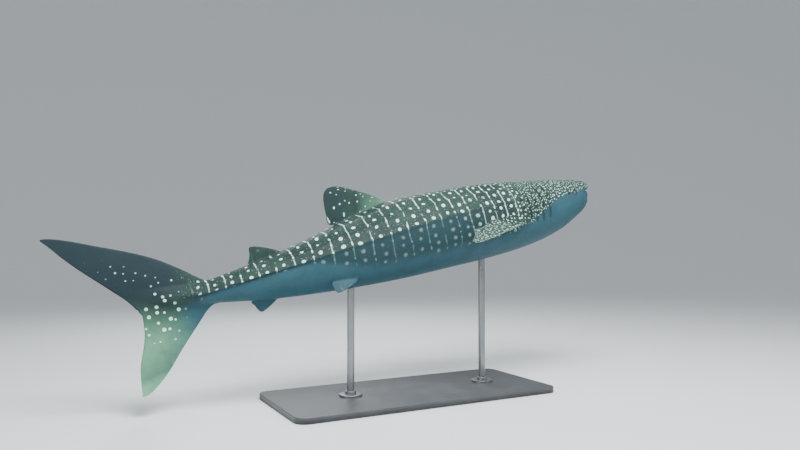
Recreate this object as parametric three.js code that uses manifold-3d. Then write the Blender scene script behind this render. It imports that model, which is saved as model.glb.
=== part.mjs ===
// A young whale shark at life size, six metres long, as a still model on a plain stand.
// Millimetres, +Z up. The head points to +X, the left side to +Y, and the origin is the
// middle of the underside of the stand's base.
import * as THREE from 'three';
import { mergeVertices } from 'three/addons/utils/BufferGeometryUtils.js';
import Module from 'manifold-3d';

const wasm = await Module();
wasm.setup();

// Driving dimensions
const TOTAL_LENGTH = 6000;
const GAP = 0.3;
const NOSE_UP = THREE.MathUtils.degToRad(14.4);
const TAIL_BEND = THREE.MathUtils.degToRad(10);
const BEND_FROM = 0.50 * TOTAL_LENGTH;
const BEND_TO = 0.80 * TOTAL_LENGTH;
const BALANCE = 0.41 * TOTAL_LENGTH;
const SNOUT_HEIGHT = 2330;
const HEAD_END = 0.215;
const TORSO_END = 0.50;
const STEM_TIP = 0.893;
const MOUTH_LEVEL = -0.0045;
const BASE = { length: 3000, width: 1300, height: 60, corner: 120 };
const RODS = { front: 0.27, rear: 0.545, radius: 38, flange: 120, flangeHeight: 24 };
const EYE = { s: 0.066, z: 0.0005, radius: 27, rim: 30, tube: 8, sink: 13 };

// The body's outline as stations: fraction of the length, then the top, the bottom,
// the half-width and the level of the greatest width, all as fractions of the length.
const OUTLINE = [
  [0.016, 0.0178, -0.0335, 0.0605, -0.0050],
  [0.028, 0.0218, -0.0435, 0.0645, -0.0055],
  [0.042, 0.0250, -0.0510, 0.0675, -0.0060],
  [0.066, 0.0298, -0.0605, 0.0705, -0.0060],
  [0.095, 0.0352, -0.0705, 0.0735, -0.0060],
  [0.140, 0.0448, -0.0785, 0.0752, -0.0060],
  [0.200, 0.0545, -0.0823, 0.0748, -0.0055],
  [0.280, 0.0625, -0.0807, 0.0722, -0.0040],
  [0.360, 0.0682, -0.0757, 0.0682, -0.0020],
  [0.430, 0.0712, -0.0712, 0.0630, 0.0000],
  [0.500, 0.0630, -0.0645, 0.0560, 0.0020],
  [0.560, 0.0512, -0.0572, 0.0482, 0.0030],
  [0.620, 0.0388, -0.0488, 0.0402, 0.0030],
  [0.660, 0.0318, -0.0425, 0.0352, 0.0030],
  [0.700, 0.0268, -0.0355, 0.0300, 0.0026],
  [0.740, 0.0222, -0.0265, 0.0250, 0.0020],
  [0.780, 0.0182, -0.0180, 0.0200, 0.0010],
  [0.805, 0.0205, -0.0150, 0.0172, 0.0015],
  [0.830, 0.0250, -0.0085, 0.0128, 0.0070],
  [0.855, 0.0290, 0.0005, 0.0085, 0.0140],
  [0.878, 0.0325, 0.0120, 0.0045, 0.0220],
  [0.893, 0.0325, 0.0230, 0.0020, 0.0280],
];

// The lips, from the bottom of the mouth's groove outwards: how far back the upper and
// the lower lip lie, their levels above and below the mouth line, and the half-width.
const LIPS = [
  [0.0240, 0.0240, 0.0000, 0.0000, 0.0440],
  [0.0040, 0.0105, 0.0012, -0.0012, 0.0500],
  [-0.0010, 0.0050, 0.0055, -0.0055, 0.0530],
  [0.0015, 0.0052, 0.0112, -0.0125, 0.0555],
  [0.0075, 0.0100, 0.0180, -0.0215, 0.0582],
];

// The three ridges on each flank, as shares of the girth angle from the back to the
// level of greatest width, and the lowest one, the keel, by its height.
const RIDGES = { upper: 0.34, middle: 0.64, from: 0.15, full: 0.28, height: 0.0032, keel: 0.0052 };
const KEEL_HEIGHTS = [[0.10, 0.006], [0.20, 0.016], [0.36, 0.0225], [0.50, 0.0172], [0.60, 0.0115],
  [0.70, 0.0062], [0.78, 0.0022], [0.83, 0.0085], [0.893, 0.0282]];

// The gill slits: their places along the flank, their half-heights and the flap's lift.
const GILLS = { places: [0.141, 0.157, 0.173, 0.188, 0.202], half: [0.034, 0.034, 0.032, 0.029, 0.025],
  level: -0.004, lift: 0.0016, sink: 0.0016, step: 0.0014 };

// Finish colours
const FINISHES = {
  skin: { color: 0x4c6468, roughness: 0.55, metalness: 0 },
  fin: { color: 0x40565e, roughness: 0.55, metalness: 0 },
  eye: { color: 0x0c0f12, roughness: 0.12, metalness: 0 },
  base: { color: 0x5a5d60, roughness: 0.5, metalness: 0 },
  rod: { color: 0xb4b8ba, roughness: 0.32, metalness: 1 },
};

const clamp = THREE.MathUtils.clamp;
const smooth = (x, from, to) => THREE.MathUtils.smoothstep(x, from, to);

// A smooth curve through rows whose first value rises, one column at a time.
function sample(rows, x, column) {
  let i = 0;
  while (i < rows.length - 2 && rows[i + 1][0] < x) i += 1;
  const [a, b] = [rows[i], rows[i + 1]];
  const before = rows[Math.max(i - 1, 0)];
  const after = rows[Math.min(i + 2, rows.length - 1)];
  const span = b[0] - a[0];
  const t = clamp((x - a[0]) / span, 0, 1);
  const slopeA = span * (b[column] - before[column]) / (b[0] - before[0]);
  const slopeB = span * (after[column] - a[column]) / (after[0] - a[0]);
  const t2 = t * t;
  const t3 = t2 * t;
  return (2 * t3 - 3 * t2 + 1) * a[column] + (t3 - 2 * t2 + t) * slopeA
    + (3 * t2 - 2 * t3) * b[column] + (t3 - t2) * slopeB;
}

// From the straight body (back from the snout, left, up, in mm) to its place on the stand.
function place(back, left, up) {
  const radius = (BEND_TO - BEND_FROM) / TAIL_BEND;
  const turn = TAIL_BEND * clamp((back - BEND_FROM) / (BEND_TO - BEND_FROM), 0, 1);
  const past = Math.max(back - BEND_TO, 0);
  const along = Math.min(back, BEND_FROM) + radius * Math.sin(turn) + past * Math.cos(turn);
  const aside = radius * (1 - Math.cos(turn)) + past * Math.sin(turn);
  const forward = BALANCE - along + left * Math.sin(turn);
  const side = aside + left * Math.cos(turn);
  const [c, s] = [Math.cos(NOSE_UP), Math.sin(NOSE_UP)];
  return [
    forward * c - up * s,
    side,
    forward * s + up * c + SNOUT_HEIGHT - BALANCE * s,
  ];
}

// The girth angle of a height on the upper half of a section.
function angleAt(section, height) {
  const share = clamp((height - section.level) / (section.top - section.level), 0, 1);
  return Math.acos(share ** (section.power / 2));
}

function sectionAt(s) {
  const section = {
    top: sample(OUTLINE, s, 1),
    bottom: sample(OUTLINE, s, 2),
    half: sample(OUTLINE, s, 3),
    level: sample(OUTLINE, s, 4),
    power: 2.45 - 0.45 * smooth(s, 0.05, 0.35),
  };
  section.keel = angleAt(section, sample(KEEL_HEIGHTS, s, 1));
  return section;
}

// Girth angles on one side, from the back (0) to the belly (pi), with three close
// points at each ridge. On the snout, which has no ridges, they are evenly spread.
function girthAngles(keel, s) {
  const near = 0.055;
  const angles = [0];
  for (const crest of [keel * RIDGES.upper, keel * RIDGES.middle, keel]) {
    const last = angles[angles.length - 1];
    const reach = crest - near - last;
    angles.push(last + reach / 3, last + reach * 2 / 3, crest - near, crest, crest + near);
  }
  const start = keel + near;
  const steps = 9;
  for (let i = 1; i <= steps; i += 1) angles.push(start + (Math.PI - start) * i / steps);
  const ridged = smooth(s, 0.03, 0.13);
  return angles.map((angle, i) => THREE.MathUtils.lerp(Math.PI * i / (angles.length - 1), angle, ridged));
}

// How far a ridge stands out at a girth angle.
function ridgeLift(s, angle, keel) {
  const grown = smooth(s, RIDGES.from, RIDGES.full) * (1 - smooth(s, 0.80, 0.86));
  const keelGrown = grown * (1 + (RIDGES.keel / RIDGES.height - 1) * smooth(s, 0.60, 0.76));
  const fade = 1 - smooth(s, 0.62, 0.72);
  const crest = (at, height) => height * Math.exp(-(((angle - at) / 0.05) ** 2));
  return RIDGES.height * (crest(keel, keelGrown)
    + crest(keel * RIDGES.middle, grown * fade) + crest(keel * RIDGES.upper, grown * fade));
}

// The sawtooth of the gill flaps: each flap rises backwards and drops at its slit.
function gillLift(s, height) {
  const { places, half, level, lift, sink, step } = GILLS;
  for (let i = 0; i < places.length; i += 1) {
    const start = i === 0 ? places[0] - 0.016 : places[i - 1] + step;
    if (s < start - 1e-6 || s > places[i] + 1e-6) continue;
    const rise = (s - start) / (places[i] - start);
    const from = i === 0 ? 0 : -sink;
    const reach = 1 - smooth(Math.abs(height - level), half[i] - 0.008, half[i] + 0.002);
    return reach * (from + (lift - from) * rise);
  }
  const last = places.length - 1;
  const end = places[last] + step;
  const reach = 1 - smooth(Math.abs(height - level), half[last] - 0.008, half[last] + 0.002);
  return s >= end - 1e-6 && s < end + 0.012 ? -sink * reach * (1 - (s - end) / 0.012) : 0;
}

// One ring of the body. The snout is blunt, so near it a ring bends back to its sides.
function bodyRing(s, grow = 0) {
  const section = sectionAt(s);
  const side = girthAngles(section.keel, s);
  const exponent = 2 / section.power;
  const setback = 0.030 * (1 - clamp(s / 0.12, 0, 1)) ** 2;
  const point = (angle, hand) => {
    const across = Math.sin(angle) ** exponent;
    const rise = Math.sign(Math.cos(angle)) * Math.abs(Math.cos(angle)) ** exponent;
    const reach = rise > 0 ? section.top - section.level : section.level - section.bottom;
    const height = section.level + reach * rise;
    const lift = ridgeLift(s, angle, section.keel) + gillLift(s, height) + grow / TOTAL_LENGTH;
    const y = hand * (section.half * across + lift * Math.sin(angle));
    const z = height + lift * Math.cos(angle);
    const back = s + setback * across ** 4;
    return place(back * TOTAL_LENGTH, y * TOTAL_LENGTH, z * TOTAL_LENGTH);
  };
  return [...side.map((angle) => point(angle, 1)),
    ...side.slice(1, -1).reverse().map((angle) => point(angle, -1))];
}

// One ring of the lips; the groove's ring has its upper and lower points together.
function lipRing([upperBack, lowerBack, upper, lower, half]) {
  const section = sectionAt(OUTLINE[0][0]);
  const side = girthAngles(section.keel, 0);
  const setback = 0.030;
  const point = (angle, hand) => {
    const across = Math.sin(angle) ** (2 / (section.power + 0.9 * (1 - Math.abs(upper) / 0.018)));
    const rise = Math.sign(Math.cos(angle)) * Math.abs(Math.cos(angle)) ** 0.82;
    const height = MOUTH_LEVEL + 0.0015 * (1 - across ** 2) + (rise > 0 ? upper : -lower) * rise;
    const share = 0.5 + 0.5 * clamp(Math.cos(angle) * 3, -1, 1);
    const back = lowerBack + (upperBack - lowerBack) * share + setback * across ** 4;
    return place(back * TOTAL_LENGTH, hand * half * across * TOTAL_LENGTH, height * TOTAL_LENGTH);
  };
  return [...side.map((angle) => point(angle, 1)),
    ...side.slice(1, -1).reverse().map((angle) => point(angle, -1))];
}

// A closed solid from rings of equal count, its ends closed round a middle point.
function loft(rings, ends = [true, true]) {
  const count = rings[0].length;
  const positions = rings.flat(2);
  const index = [];
  for (let r = 0; r < rings.length - 1; r += 1) {
    for (let k = 0; k < count; k += 1) {
      const a = r * count + k;
      const b = r * count + (k + 1) % count;
      index.push(a, b, a + count, b, b + count, a + count);
    }
  }
  [0, rings.length - 1].forEach((r, end) => {
    if (!ends[end]) return;
    const ring = rings[r];
    const middle = positions.length / 3;
    for (let axis = 0; axis < 3; axis += 1) {
      positions.push(ring.reduce((sum, point) => sum + point[axis], 0) / count);
    }
    for (let k = 0; k < count; k += 1) {
      const a = r * count + k;
      const b = r * count + (k + 1) % count;
      if (end === 0) index.push(middle, b, a);
      else index.push(middle, a, b);
    }
  });
  const geometry = new THREE.BufferGeometry();
  geometry.setAttribute('position', new THREE.Float32BufferAttribute(positions, 3));
  geometry.setIndex(index);
  return geometry;
}

// Solids for joining and cutting
function solid(geometry) {
  const bare = geometry.clone();
  for (const name of ['normal', 'uv']) bare.deleteAttribute(name);
  const merged = mergeVertices(bare, 1e-3);
  const source = merged.index.array;
  const triVerts = [];
  for (let i = 0; i < source.length; i += 3) {
    const [a, b, c] = [source[i], source[i + 1], source[i + 2]];
    if (a !== b && b !== c && c !== a) triVerts.push(a, b, c);
  }
  const vertProperties = new Float32Array(merged.attributes.position.array);
  const body = new wasm.Manifold(new wasm.Mesh({
    numProp: 3, vertProperties, triVerts: new Uint32Array(triVerts),
  }));
  return body.volume() < 0 ? solid(flipped(geometry)) : body;
}

function flipped(geometry) {
  const copy = geometry.clone();
  const source = copy.index.array;
  for (let i = 0; i < source.length; i += 3) [source[i], source[i + 1]] = [source[i + 1], source[i]];
  return copy;
}

function largest(body) {
  return body.decompose().reduce((best, next) => (next.volume() > best.volume() ? next : best));
}

const group = new THREE.Group();

function addNode(name, body, finish) {
  const mesh = largest(body).getMesh();
  const geometry = new THREE.BufferGeometry();
  geometry.setAttribute('position', new THREE.Float32BufferAttribute(mesh.vertProperties, 3));
  geometry.setIndex(new THREE.Uint32BufferAttribute(mesh.triVerts, 1));
  geometry.computeVertexNormals();
  const node = new THREE.Mesh(geometry, new THREE.MeshStandardMaterial(FINISHES[finish]));
  node.name = name;
  group.add(node);
}

// The body's three lengths. Their flat ends meet with the gap between them.
function stationsBetween(from, to, extra = [], step = 0.021) {
  const count = Math.max(1, Math.round((to - from) / step));
  const even = Array.from({ length: count + 1 }, (_, i) => from + (to - from) * i / count);
  const kept = even.filter((s, i) => i === 0 || i === count
    || extra.every((other) => Math.abs(other - s) > step * 0.3));
  return [...kept, ...extra].sort((a, b) => a - b);
}

const halfGap = GAP / 2 / TOTAL_LENGTH;
const gillStations = GILLS.places.flatMap((s) => [s, s + GILLS.step]);
const headStations = [0.016, 0.028, 0.042, 0.058, 0.075, 0.092, 0.109, GILLS.places[0] - 0.016,
  ...gillStations, HEAD_END - halfGap];
const torsoStations = stationsBetween(HEAD_END + halfGap, TORSO_END - halfGap);
const stemStations = [...stationsBetween(TORSO_END + halfGap, 0.78), 0.793, 0.805, 0.818, 0.83, 0.843,
  0.855, 0.867, 0.878, 0.887, STEM_TIP];

const headLoft = (grow) => loft([...LIPS.map(lipRing), ...headStations.map((s) => bodyRing(s, grow))],
  [false, true]);
const bodyLoft = (stations, grow = 0) => loft(stations.map((s) => bodyRing(s, grow)));
const torso = solid(bodyLoft(torsoStations));
const stem = solid(bodyLoft(stemStations));
const grownBody = solid(bodyLoft([...headStations.slice(2, -1), ...torsoStations, ...stemStations], GAP));

// A place on the head's side, by its station and height
function flankPoint(s, height, hand, out = 0) {
  const section = sectionAt(s);
  const rise = (height - section.level) / (height > section.level
    ? section.top - section.level : section.level - section.bottom);
  const across = (1 - Math.abs(rise) ** section.power) ** (1 / section.power);
  const setback = 0.030 * (1 - clamp(s / 0.12, 0, 1)) ** 2 * across ** 4;
  return place((s + setback) * TOTAL_LENGTH, hand * (section.half * across * TOTAL_LENGTH + out),
    height * TOTAL_LENGTH);
}

function ball(centre, radius, stretch = [1, 1, 1], segments = [16, 10]) {
  const geometry = new THREE.SphereGeometry(radius, ...segments);
  geometry.scale(...stretch);
  geometry.rotateY(-NOSE_UP);
  geometry.translate(...centre);
  return solid(geometry);
}

// A ring of skin round the eye, facing sideways
function eyeRim(centre, hand) {
  const geometry = new THREE.TorusGeometry(EYE.rim, EYE.tube, 8, 20);
  geometry.rotateX(Math.PI / 2);
  geometry.translate(centre[0], centre[1] + hand * EYE.sink * 0.62, centre[2]);
  return solid(geometry);
}

// The small barbel that hangs at each nostril
function barbel(centre) {
  const geometry = new THREE.ConeGeometry(9, 62, 8);
  geometry.rotateX(Math.PI);
  geometry.rotateY(-NOSE_UP);
  geometry.translate(...centre);
  return solid(geometry);
}

let head = solid(headLoft(0));
for (const hand of [1, -1]) {
  const eyeCentre = flankPoint(EYE.s, EYE.z, hand, -EYE.sink);
  head = head.add(eyeRim(eyeCentre, hand)).subtract(ball(eyeCentre, EYE.radius + GAP));
  const spiracle = flankPoint(EYE.s + 0.021, EYE.z + 0.001, hand, -2);
  head = head.subtract(ball(spiracle, 12, [1.5, 1, 0.9], [10, 8]));
  const nostril = place(0.0035 * TOTAL_LENGTH, hand * 0.031 * TOTAL_LENGTH, 0.0030 * TOTAL_LENGTH);
  head = head.subtract(ball(nostril, 16, [0.9, 2.0, 0.7], [12, 8]));
  head = head.add(barbel(place(0.004 * TOTAL_LENGTH, hand * 0.0265 * TOTAL_LENGTH, 0.0015 * TOTAL_LENGTH)));
  addNode(hand > 0 ? 'eye_left' : 'eye_right', ball(eyeCentre, EYE.radius), 'eye');
}
addNode('head', head, 'skin');
addNode('torso', torso, 'skin');
addNode('tail_stem', stem, 'skin');

// A fin: a tapering blade between its leading and its trailing edge, each a smooth line
// through points that pair off from root to tip. Sections are streamlined.
function blade({ leading, trailing, thick, tipThick, toPlace, rows = 11, chordPoints = 7, grow = 0 }) {
  const curve = (points) => new THREE.CatmullRomCurve3(
    points.map(([a, b]) => new THREE.Vector3(a, b, 0)), false, 'centripetal');
  const [lead, trail] = [curve(leading), curve(trailing)];
  const rim = 2.2;
  const rings = [];
  for (let r = 0; r <= rows; r += 1) {
    const t = r / rows;
    const from = lead.getPoint(t);
    const to = trail.getPoint(t);
    const flare = 1 + 0.5 * Math.exp(-t * 14);
    const deep = (tipThick + (thick - tipThick) * (1 - t) ** 1.15) * flare;
    const ring = [];
    const rowOf = (hand) => Array.from({ length: chordPoints + 1 }, (_, i) => {
      const c = 0.5 - 0.5 * Math.cos(Math.PI * (i / chordPoints) ** 0.92);
      const shape = 2.05 * Math.sqrt(c) * (1 - c) ** 0.85;
      const half = i === 0 ? grow : deep * shape * 0.5 + Math.min(rim, c * 30) + grow;
      const point = from.clone().lerp(to, c);
      return toPlace(point.x, point.y, hand * half);
    });
    const upper = rowOf(1);
    const lower = rowOf(-1);
    ring.push(...upper, ...(grow > 0 ? lower.reverse() : lower.slice(1).reverse()));
    rings.push(ring);
  }
  return solid(loft(rings));
}

// Fins on the midline stand in its plane, and the tail's tips trail to the right.
const midline = (s, z, half) => place(s * TOTAL_LENGTH,
  half - 0.022 * TOTAL_LENGTH * Math.max(0, (s - 0.80) / 0.19) ** 2, z * TOTAL_LENGTH);

const FIRST_DORSAL = {
  leading: [[0.440, 0.060], [0.446, 0.0715], [0.467, 0.0880], [0.490, 0.1005], [0.513, 0.1118], [0.532, 0.1185],
    [0.5465, 0.1200]],
  trailing: [[0.530, 0.048], [0.558, 0.0580], [0.5585, 0.0740], [0.5575, 0.0930], [0.5560, 0.1090],
    [0.5545, 0.1160], [0.5515, 0.1192]],
  thick: 74, tipThick: 7, toPlace: midline,
};
const SECOND_DORSAL = {
  leading: [[0.646, 0.024], [0.651, 0.0345], [0.663, 0.0420], [0.676, 0.0482], [0.688, 0.0526], [0.6955, 0.0540]],
  trailing: [[0.688, 0.021], [0.708, 0.0252], [0.7035, 0.0330], [0.7005, 0.0420], [0.6995, 0.0500],
    [0.6985, 0.0530]],
  thick: 34, tipThick: 6, toPlace: midline, rows: 8, chordPoints: 6,
};
const ANAL = {
  leading: [[0.669, -0.030], [0.674, -0.0405], [0.682, -0.0460], [0.692, -0.0512], [0.700, -0.0545]],
  trailing: [[0.699, -0.026], [0.7165, -0.0330], [0.7115, -0.0420], [0.7080, -0.0500], [0.7045, -0.0545]],
  thick: 30, tipThick: 6, toPlace: midline, rows: 8, chordPoints: 6,
};
// The two lobes of the tail fin part along a line from inside the stem to the fork.
const FORK = { stem: [0.7900, -0.0040], fork: [0.8835, -0.0090] };
const UPPER_LOBE = {
  leading: [FORK.stem, [0.788, 0.0255], [0.806, 0.0439], [0.839, 0.0697], [0.872, 0.0892], [0.921, 0.1133],
    [0.953, 0.1290], [0.975, 0.1378], [0.986, 0.1402]],
  trailing: [FORK.fork, [0.8870, 0.0020], [0.8975, 0.0195], [0.912, 0.0375], [0.930, 0.0590], [0.951, 0.0845],
    [0.968, 0.1075], [0.980, 0.1260], [0.989, 0.1388]],
  thick: 66, tipThick: 7, toPlace: midline, rows: 14,
};
const LOWER_LOBE = {
  leading: [[FORK.stem[0] - 0.004, FORK.stem[1]], [0.779, -0.0225], [0.800, -0.0419], [0.820, -0.0609],
    [0.841, -0.0815], [0.863, -0.1046], [0.887, -0.1236], [0.902, -0.1312]],
  trailing: [FORK.fork, [0.8820, -0.0205], [0.8840, -0.0360], [0.8890, -0.0520], [0.8955, -0.0680],
    [0.9025, -0.0860], [0.9070, -0.1080], [0.9095, -0.1290]],
  thick: 60, tipThick: 7, toPlace: midline, rows: 12,
};

addNode('first_dorsal_fin', blade(FIRST_DORSAL).subtract(grownBody), 'fin');
addNode('second_dorsal_fin', blade(SECOND_DORSAL).subtract(grownBody), 'fin');
addNode('anal_fin', blade(ANAL).subtract(grownBody), 'fin');
const grownStem = solid(bodyLoft(stemStations, GAP));
const upperLobe = blade(UPPER_LOBE);
addNode('caudal_upper_lobe', upperLobe.subtract(grownStem), 'fin');
const grownUpperLobe = blade({ ...UPPER_LOBE, grow: GAP,
  leading: [[FORK.stem[0] - 0.03, FORK.stem[1] - GAP / TOTAL_LENGTH], ...UPPER_LOBE.leading.slice(1)],
  trailing: [[FORK.fork[0] + 0.002, FORK.fork[1] - GAP / TOTAL_LENGTH], ...UPPER_LOBE.trailing.slice(1)] });
addNode('caudal_lower_lobe', blade(LOWER_LOBE).subtract(grownStem).subtract(grownUpperLobe), 'fin');

// The paired fins lie in planes of their own: a direction back along the root and one
// outwards, with the normal between them. Back, left and up.
function pairedFin(fin, hand) {
  const along = new THREE.Vector3(...fin.along).normalize();
  const out = new THREE.Vector3(...fin.out).normalize();
  const normal = new THREE.Vector3().crossVectors(along, out).normalize();
  const toPlace = (a, b, half) => {
    const droop = fin.droop * b * b;
    const point = new THREE.Vector3(...fin.root).addScaledVector(along, a).addScaledVector(out, b)
      .multiplyScalar(TOTAL_LENGTH).addScaledVector(normal, half);
    return place(point.x, hand * point.y, point.z - droop * TOTAL_LENGTH);
  };
  return blade({ ...fin, toPlace });
}

const PECTORAL = {
  root: [0.205, 0.068, -0.026], along: [0.988, 0, 0.154], out: [0.04, 0.97, -0.235], droop: 0.25,
  leading: [[-0.003, -0.018], [0.004, 0.0050], [0.046, 0.0300], [0.096, 0.0570], [0.136, 0.0765], [0.156, 0.0835],
    [0.1665, 0.0835]],
  trailing: [[0.062, -0.018], [0.098, 0.0060], [0.124, 0.0180], [0.133, 0.0360], [0.149, 0.0560], [0.163, 0.0720],
    [0.1690, 0.0810]],
  thick: 62, tipThick: 8, rows: 11,
};
const PELVIC = {
  root: [0.542, 0.036, -0.040], along: [0.985, -0.08, 0.15], out: [0.05, 0.72, -0.69], droop: 0,
  leading: [[-0.002, -0.012], [0.003, 0.0050], [0.016, 0.0140], [0.030, 0.0220], [0.040, 0.0255]],
  trailing: [[0.032, -0.012], [0.046, 0.0050], [0.0465, 0.0140], [0.0460, 0.0210], [0.0440, 0.0250]],
  thick: 30, tipThick: 6, rows: 7, chordPoints: 6,
};
for (const [name, hand] of [['left', 1], ['right', -1]]) {
  const pectoral = pairedFin(PECTORAL, hand).subtract(grownBody).subtract(solid(headLoft(GAP)));
  addNode(`pectoral_fin_${name}`, pectoral, 'fin');
  addNode(`pelvic_fin_${name}`, pairedFin(PELVIC, hand).subtract(grownBody), 'fin');
}

// The stand: a flat base with eased corners, and two rods up to the belly
function baseSlab() {
  const { length, width, height, corner } = BASE;
  const outline = new THREE.Shape();
  const [x, y] = [length / 2 - corner, width / 2 - corner];
  outline.absarc(x, y, corner, 0, Math.PI / 2);
  outline.absarc(-x, y, corner, Math.PI / 2, Math.PI);
  outline.absarc(-x, -y, corner, Math.PI, Math.PI * 1.5);
  outline.absarc(x, -y, corner, Math.PI * 1.5, Math.PI * 2);
  return solid(new THREE.ExtrudeGeometry(outline, { depth: height, bevelEnabled: false, curveSegments: 6 }));
}

function rod(s) {
  const [x, y] = place(s * TOTAL_LENGTH, 0, sectionAt(s).bottom * TOTAL_LENGTH);
  const foot = BASE.height + GAP;
  const top = SNOUT_HEIGHT;
  const pole = new THREE.CylinderGeometry(RODS.radius, RODS.radius, top - foot, 24);
  pole.rotateX(Math.PI / 2);
  pole.translate(x, y, (top + foot) / 2);
  const flange = new THREE.CylinderGeometry(RODS.flange, RODS.flange, RODS.flangeHeight, 32);
  flange.rotateX(Math.PI / 2);
  flange.translate(x, y, foot + RODS.flangeHeight / 2);
  const cut = solid(pole).add(solid(flange)).subtract(grownBody);
  return cut.decompose().reduce((low, next) => (next.boundingBox().min[2] < low.boundingBox().min[2] ? next : low));
}

addNode('stand_base', baseSlab(), 'base');
addNode('stand_rod_front', rod(RODS.front), 'rod');
addNode('stand_rod_rear', rod(RODS.rear), 'rod');

export default group;
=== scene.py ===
"""A young whale shark, six metres long, dressed as a museum model on a plain stand.

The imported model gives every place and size. One smooth skin stands for the solids of the
body and its fins. Lengths are metres; along the body they are fractions of its length,
measured back from the snout.
"""

from __future__ import annotations

import logging
import math
from dataclasses import dataclass, field
from enum import Enum

import bmesh
import bpy
import numpy as np
from mathutils import Matrix, Vector

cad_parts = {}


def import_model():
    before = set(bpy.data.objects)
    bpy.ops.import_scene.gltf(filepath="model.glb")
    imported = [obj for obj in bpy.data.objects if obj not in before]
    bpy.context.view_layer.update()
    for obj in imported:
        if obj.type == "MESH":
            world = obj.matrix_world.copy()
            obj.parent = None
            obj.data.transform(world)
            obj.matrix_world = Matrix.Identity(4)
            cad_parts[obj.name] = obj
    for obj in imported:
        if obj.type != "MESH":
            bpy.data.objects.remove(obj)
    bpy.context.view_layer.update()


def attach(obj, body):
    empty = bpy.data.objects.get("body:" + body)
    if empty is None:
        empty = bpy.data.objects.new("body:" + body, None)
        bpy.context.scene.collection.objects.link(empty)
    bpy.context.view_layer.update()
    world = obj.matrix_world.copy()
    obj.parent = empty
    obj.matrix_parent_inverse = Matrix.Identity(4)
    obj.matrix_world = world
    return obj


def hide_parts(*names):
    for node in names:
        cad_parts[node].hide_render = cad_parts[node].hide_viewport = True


LOG = logging.getLogger("whale_shark")
# the body's length in metres
LENGTH = 6.0
# what each point of the skin carries: measures along, round and to the keel, then shares from 0 to 1,
# and the tone, which is below 0 where the skin is darker; low is the keel's painted shade, dark the painted
# shade in the gill slits, the mouth and the hollows, and the tail fin's tone is partly painted light and
# shade
MARKS = ("pat_u", "pat_v", "keel_v", "pale", "low", "head", "column", "scatter", "tone", "dark", "faint")
Rows = tuple[tuple[float, ...], ...]
Pairs = tuple[tuple[float, float], ...]
Triple = tuple[float, float, float]


class Hand(Enum):
    """The animal's left and right side, by the sign of Y."""

    LEFT = 1
    RIGHT = -1


class Line(Enum):
    """A line of the body's outline, by its column in the table."""

    TOP = 1
    BOTTOM = 2
    HALF = 3
    LEVEL = 4


class Lobe(Enum):
    """What a ring of the tail fin goes round."""

    BOTH = "both lobes"
    UPPER = "the upper lobe"
    LOWER = "the lower lobe"


class Pick(Enum):
    """What is selected in edit mode."""

    FACE = "FACE"
    EDGE = "EDGE"


def smooth(x: np.ndarray | float, low: float, high: float) -> np.ndarray:
    """Rises smoothly from 0 to 1.

    Args:
        x: the value or values.
        low: where the rise starts.
        high: where it ends; below low, the curve falls instead.

    Returns:
        The values between 0 and 1.
    """
    t = np.clip((np.asarray(x, float) - low) / (high - low), 0.0, 1.0)
    return t * t * (3.0 - 2.0 * t)


def sample(rows: Rows, x: np.ndarray | float, column: int) -> np.ndarray:
    """Follows a smooth curve through rows whose first value rises.

    Args:
        rows: the stations, each with its place first.
        x: the places asked for.
        column: which value of the rows is followed.

    Returns:
        The value at each place.
    """
    table = np.array(rows, float)
    x = np.asarray(x, float)
    i = np.clip(np.searchsorted(table[:, 0], x, side="left") - 1, 0, len(table) - 2)
    before, after = np.maximum(i - 1, 0), np.minimum(i + 2, len(table) - 1)
    px, py = table[:, 0], table[:, column]
    span = px[i + 1] - px[i]
    t = np.clip((x - px[i]) / span, 0.0, 1.0)
    slope_a = span * (py[i + 1] - py[before]) / (px[i + 1] - px[before])
    slope_b = span * (py[after] - py[i]) / (px[after] - px[i])
    t2, t3 = t * t, t * t * t
    return ((2 * t3 - 3 * t2 + 1) * py[i] + (t3 - 2 * t2 + t) * slope_a
            + (3 * t2 - 2 * t3) * py[i + 1] + (t3 - t2) * slope_b)


def spline(points: Pairs, t: np.ndarray) -> np.ndarray:
    """Follows a centripetal curve through points, as the solids' outlines do.

    Args:
        points: the points that the line passes through.
        t: places along it, from 0 to 1.

    Returns:
        One point for each place.
    """
    p = np.array(points, float)
    t = np.asarray(t, float)
    last = len(p) - 1
    i = np.minimum((t * last).astype(int), last - 1)
    w = (t * last - i)[..., None]
    p0 = np.where((i == 0)[..., None], 2 * p[0] - p[1], p[np.maximum(i - 1, 0)])
    p3 = np.where((i == last - 1)[..., None], 2 * p[-1] - p[-2], p[np.minimum(i + 2, last)])
    p1, p2 = p[i], p[i + 1]
    d1 = np.maximum(np.linalg.norm(p1 - p0, axis=-1, keepdims=True), 1e-9) ** 0.5
    d2 = np.maximum(np.linalg.norm(p2 - p1, axis=-1, keepdims=True), 1e-9) ** 0.5
    d3 = np.maximum(np.linalg.norm(p3 - p2, axis=-1, keepdims=True), 1e-9) ** 0.5
    m1 = ((p1 - p0) / d1 - (p2 - p0) / (d1 + d2) + (p2 - p1) / d2) * d2
    m2 = ((p2 - p1) / d2 - (p3 - p1) / (d2 + d3) + (p3 - p2) / d3) * d2
    w2, w3 = w * w, w * w * w
    return (2 * w3 - 3 * w2 + 1) * p1 + (w3 - 2 * w2 + w) * m1 + (3 * w2 - 2 * w3) * p2 + (w3 - w2) * m2


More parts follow.
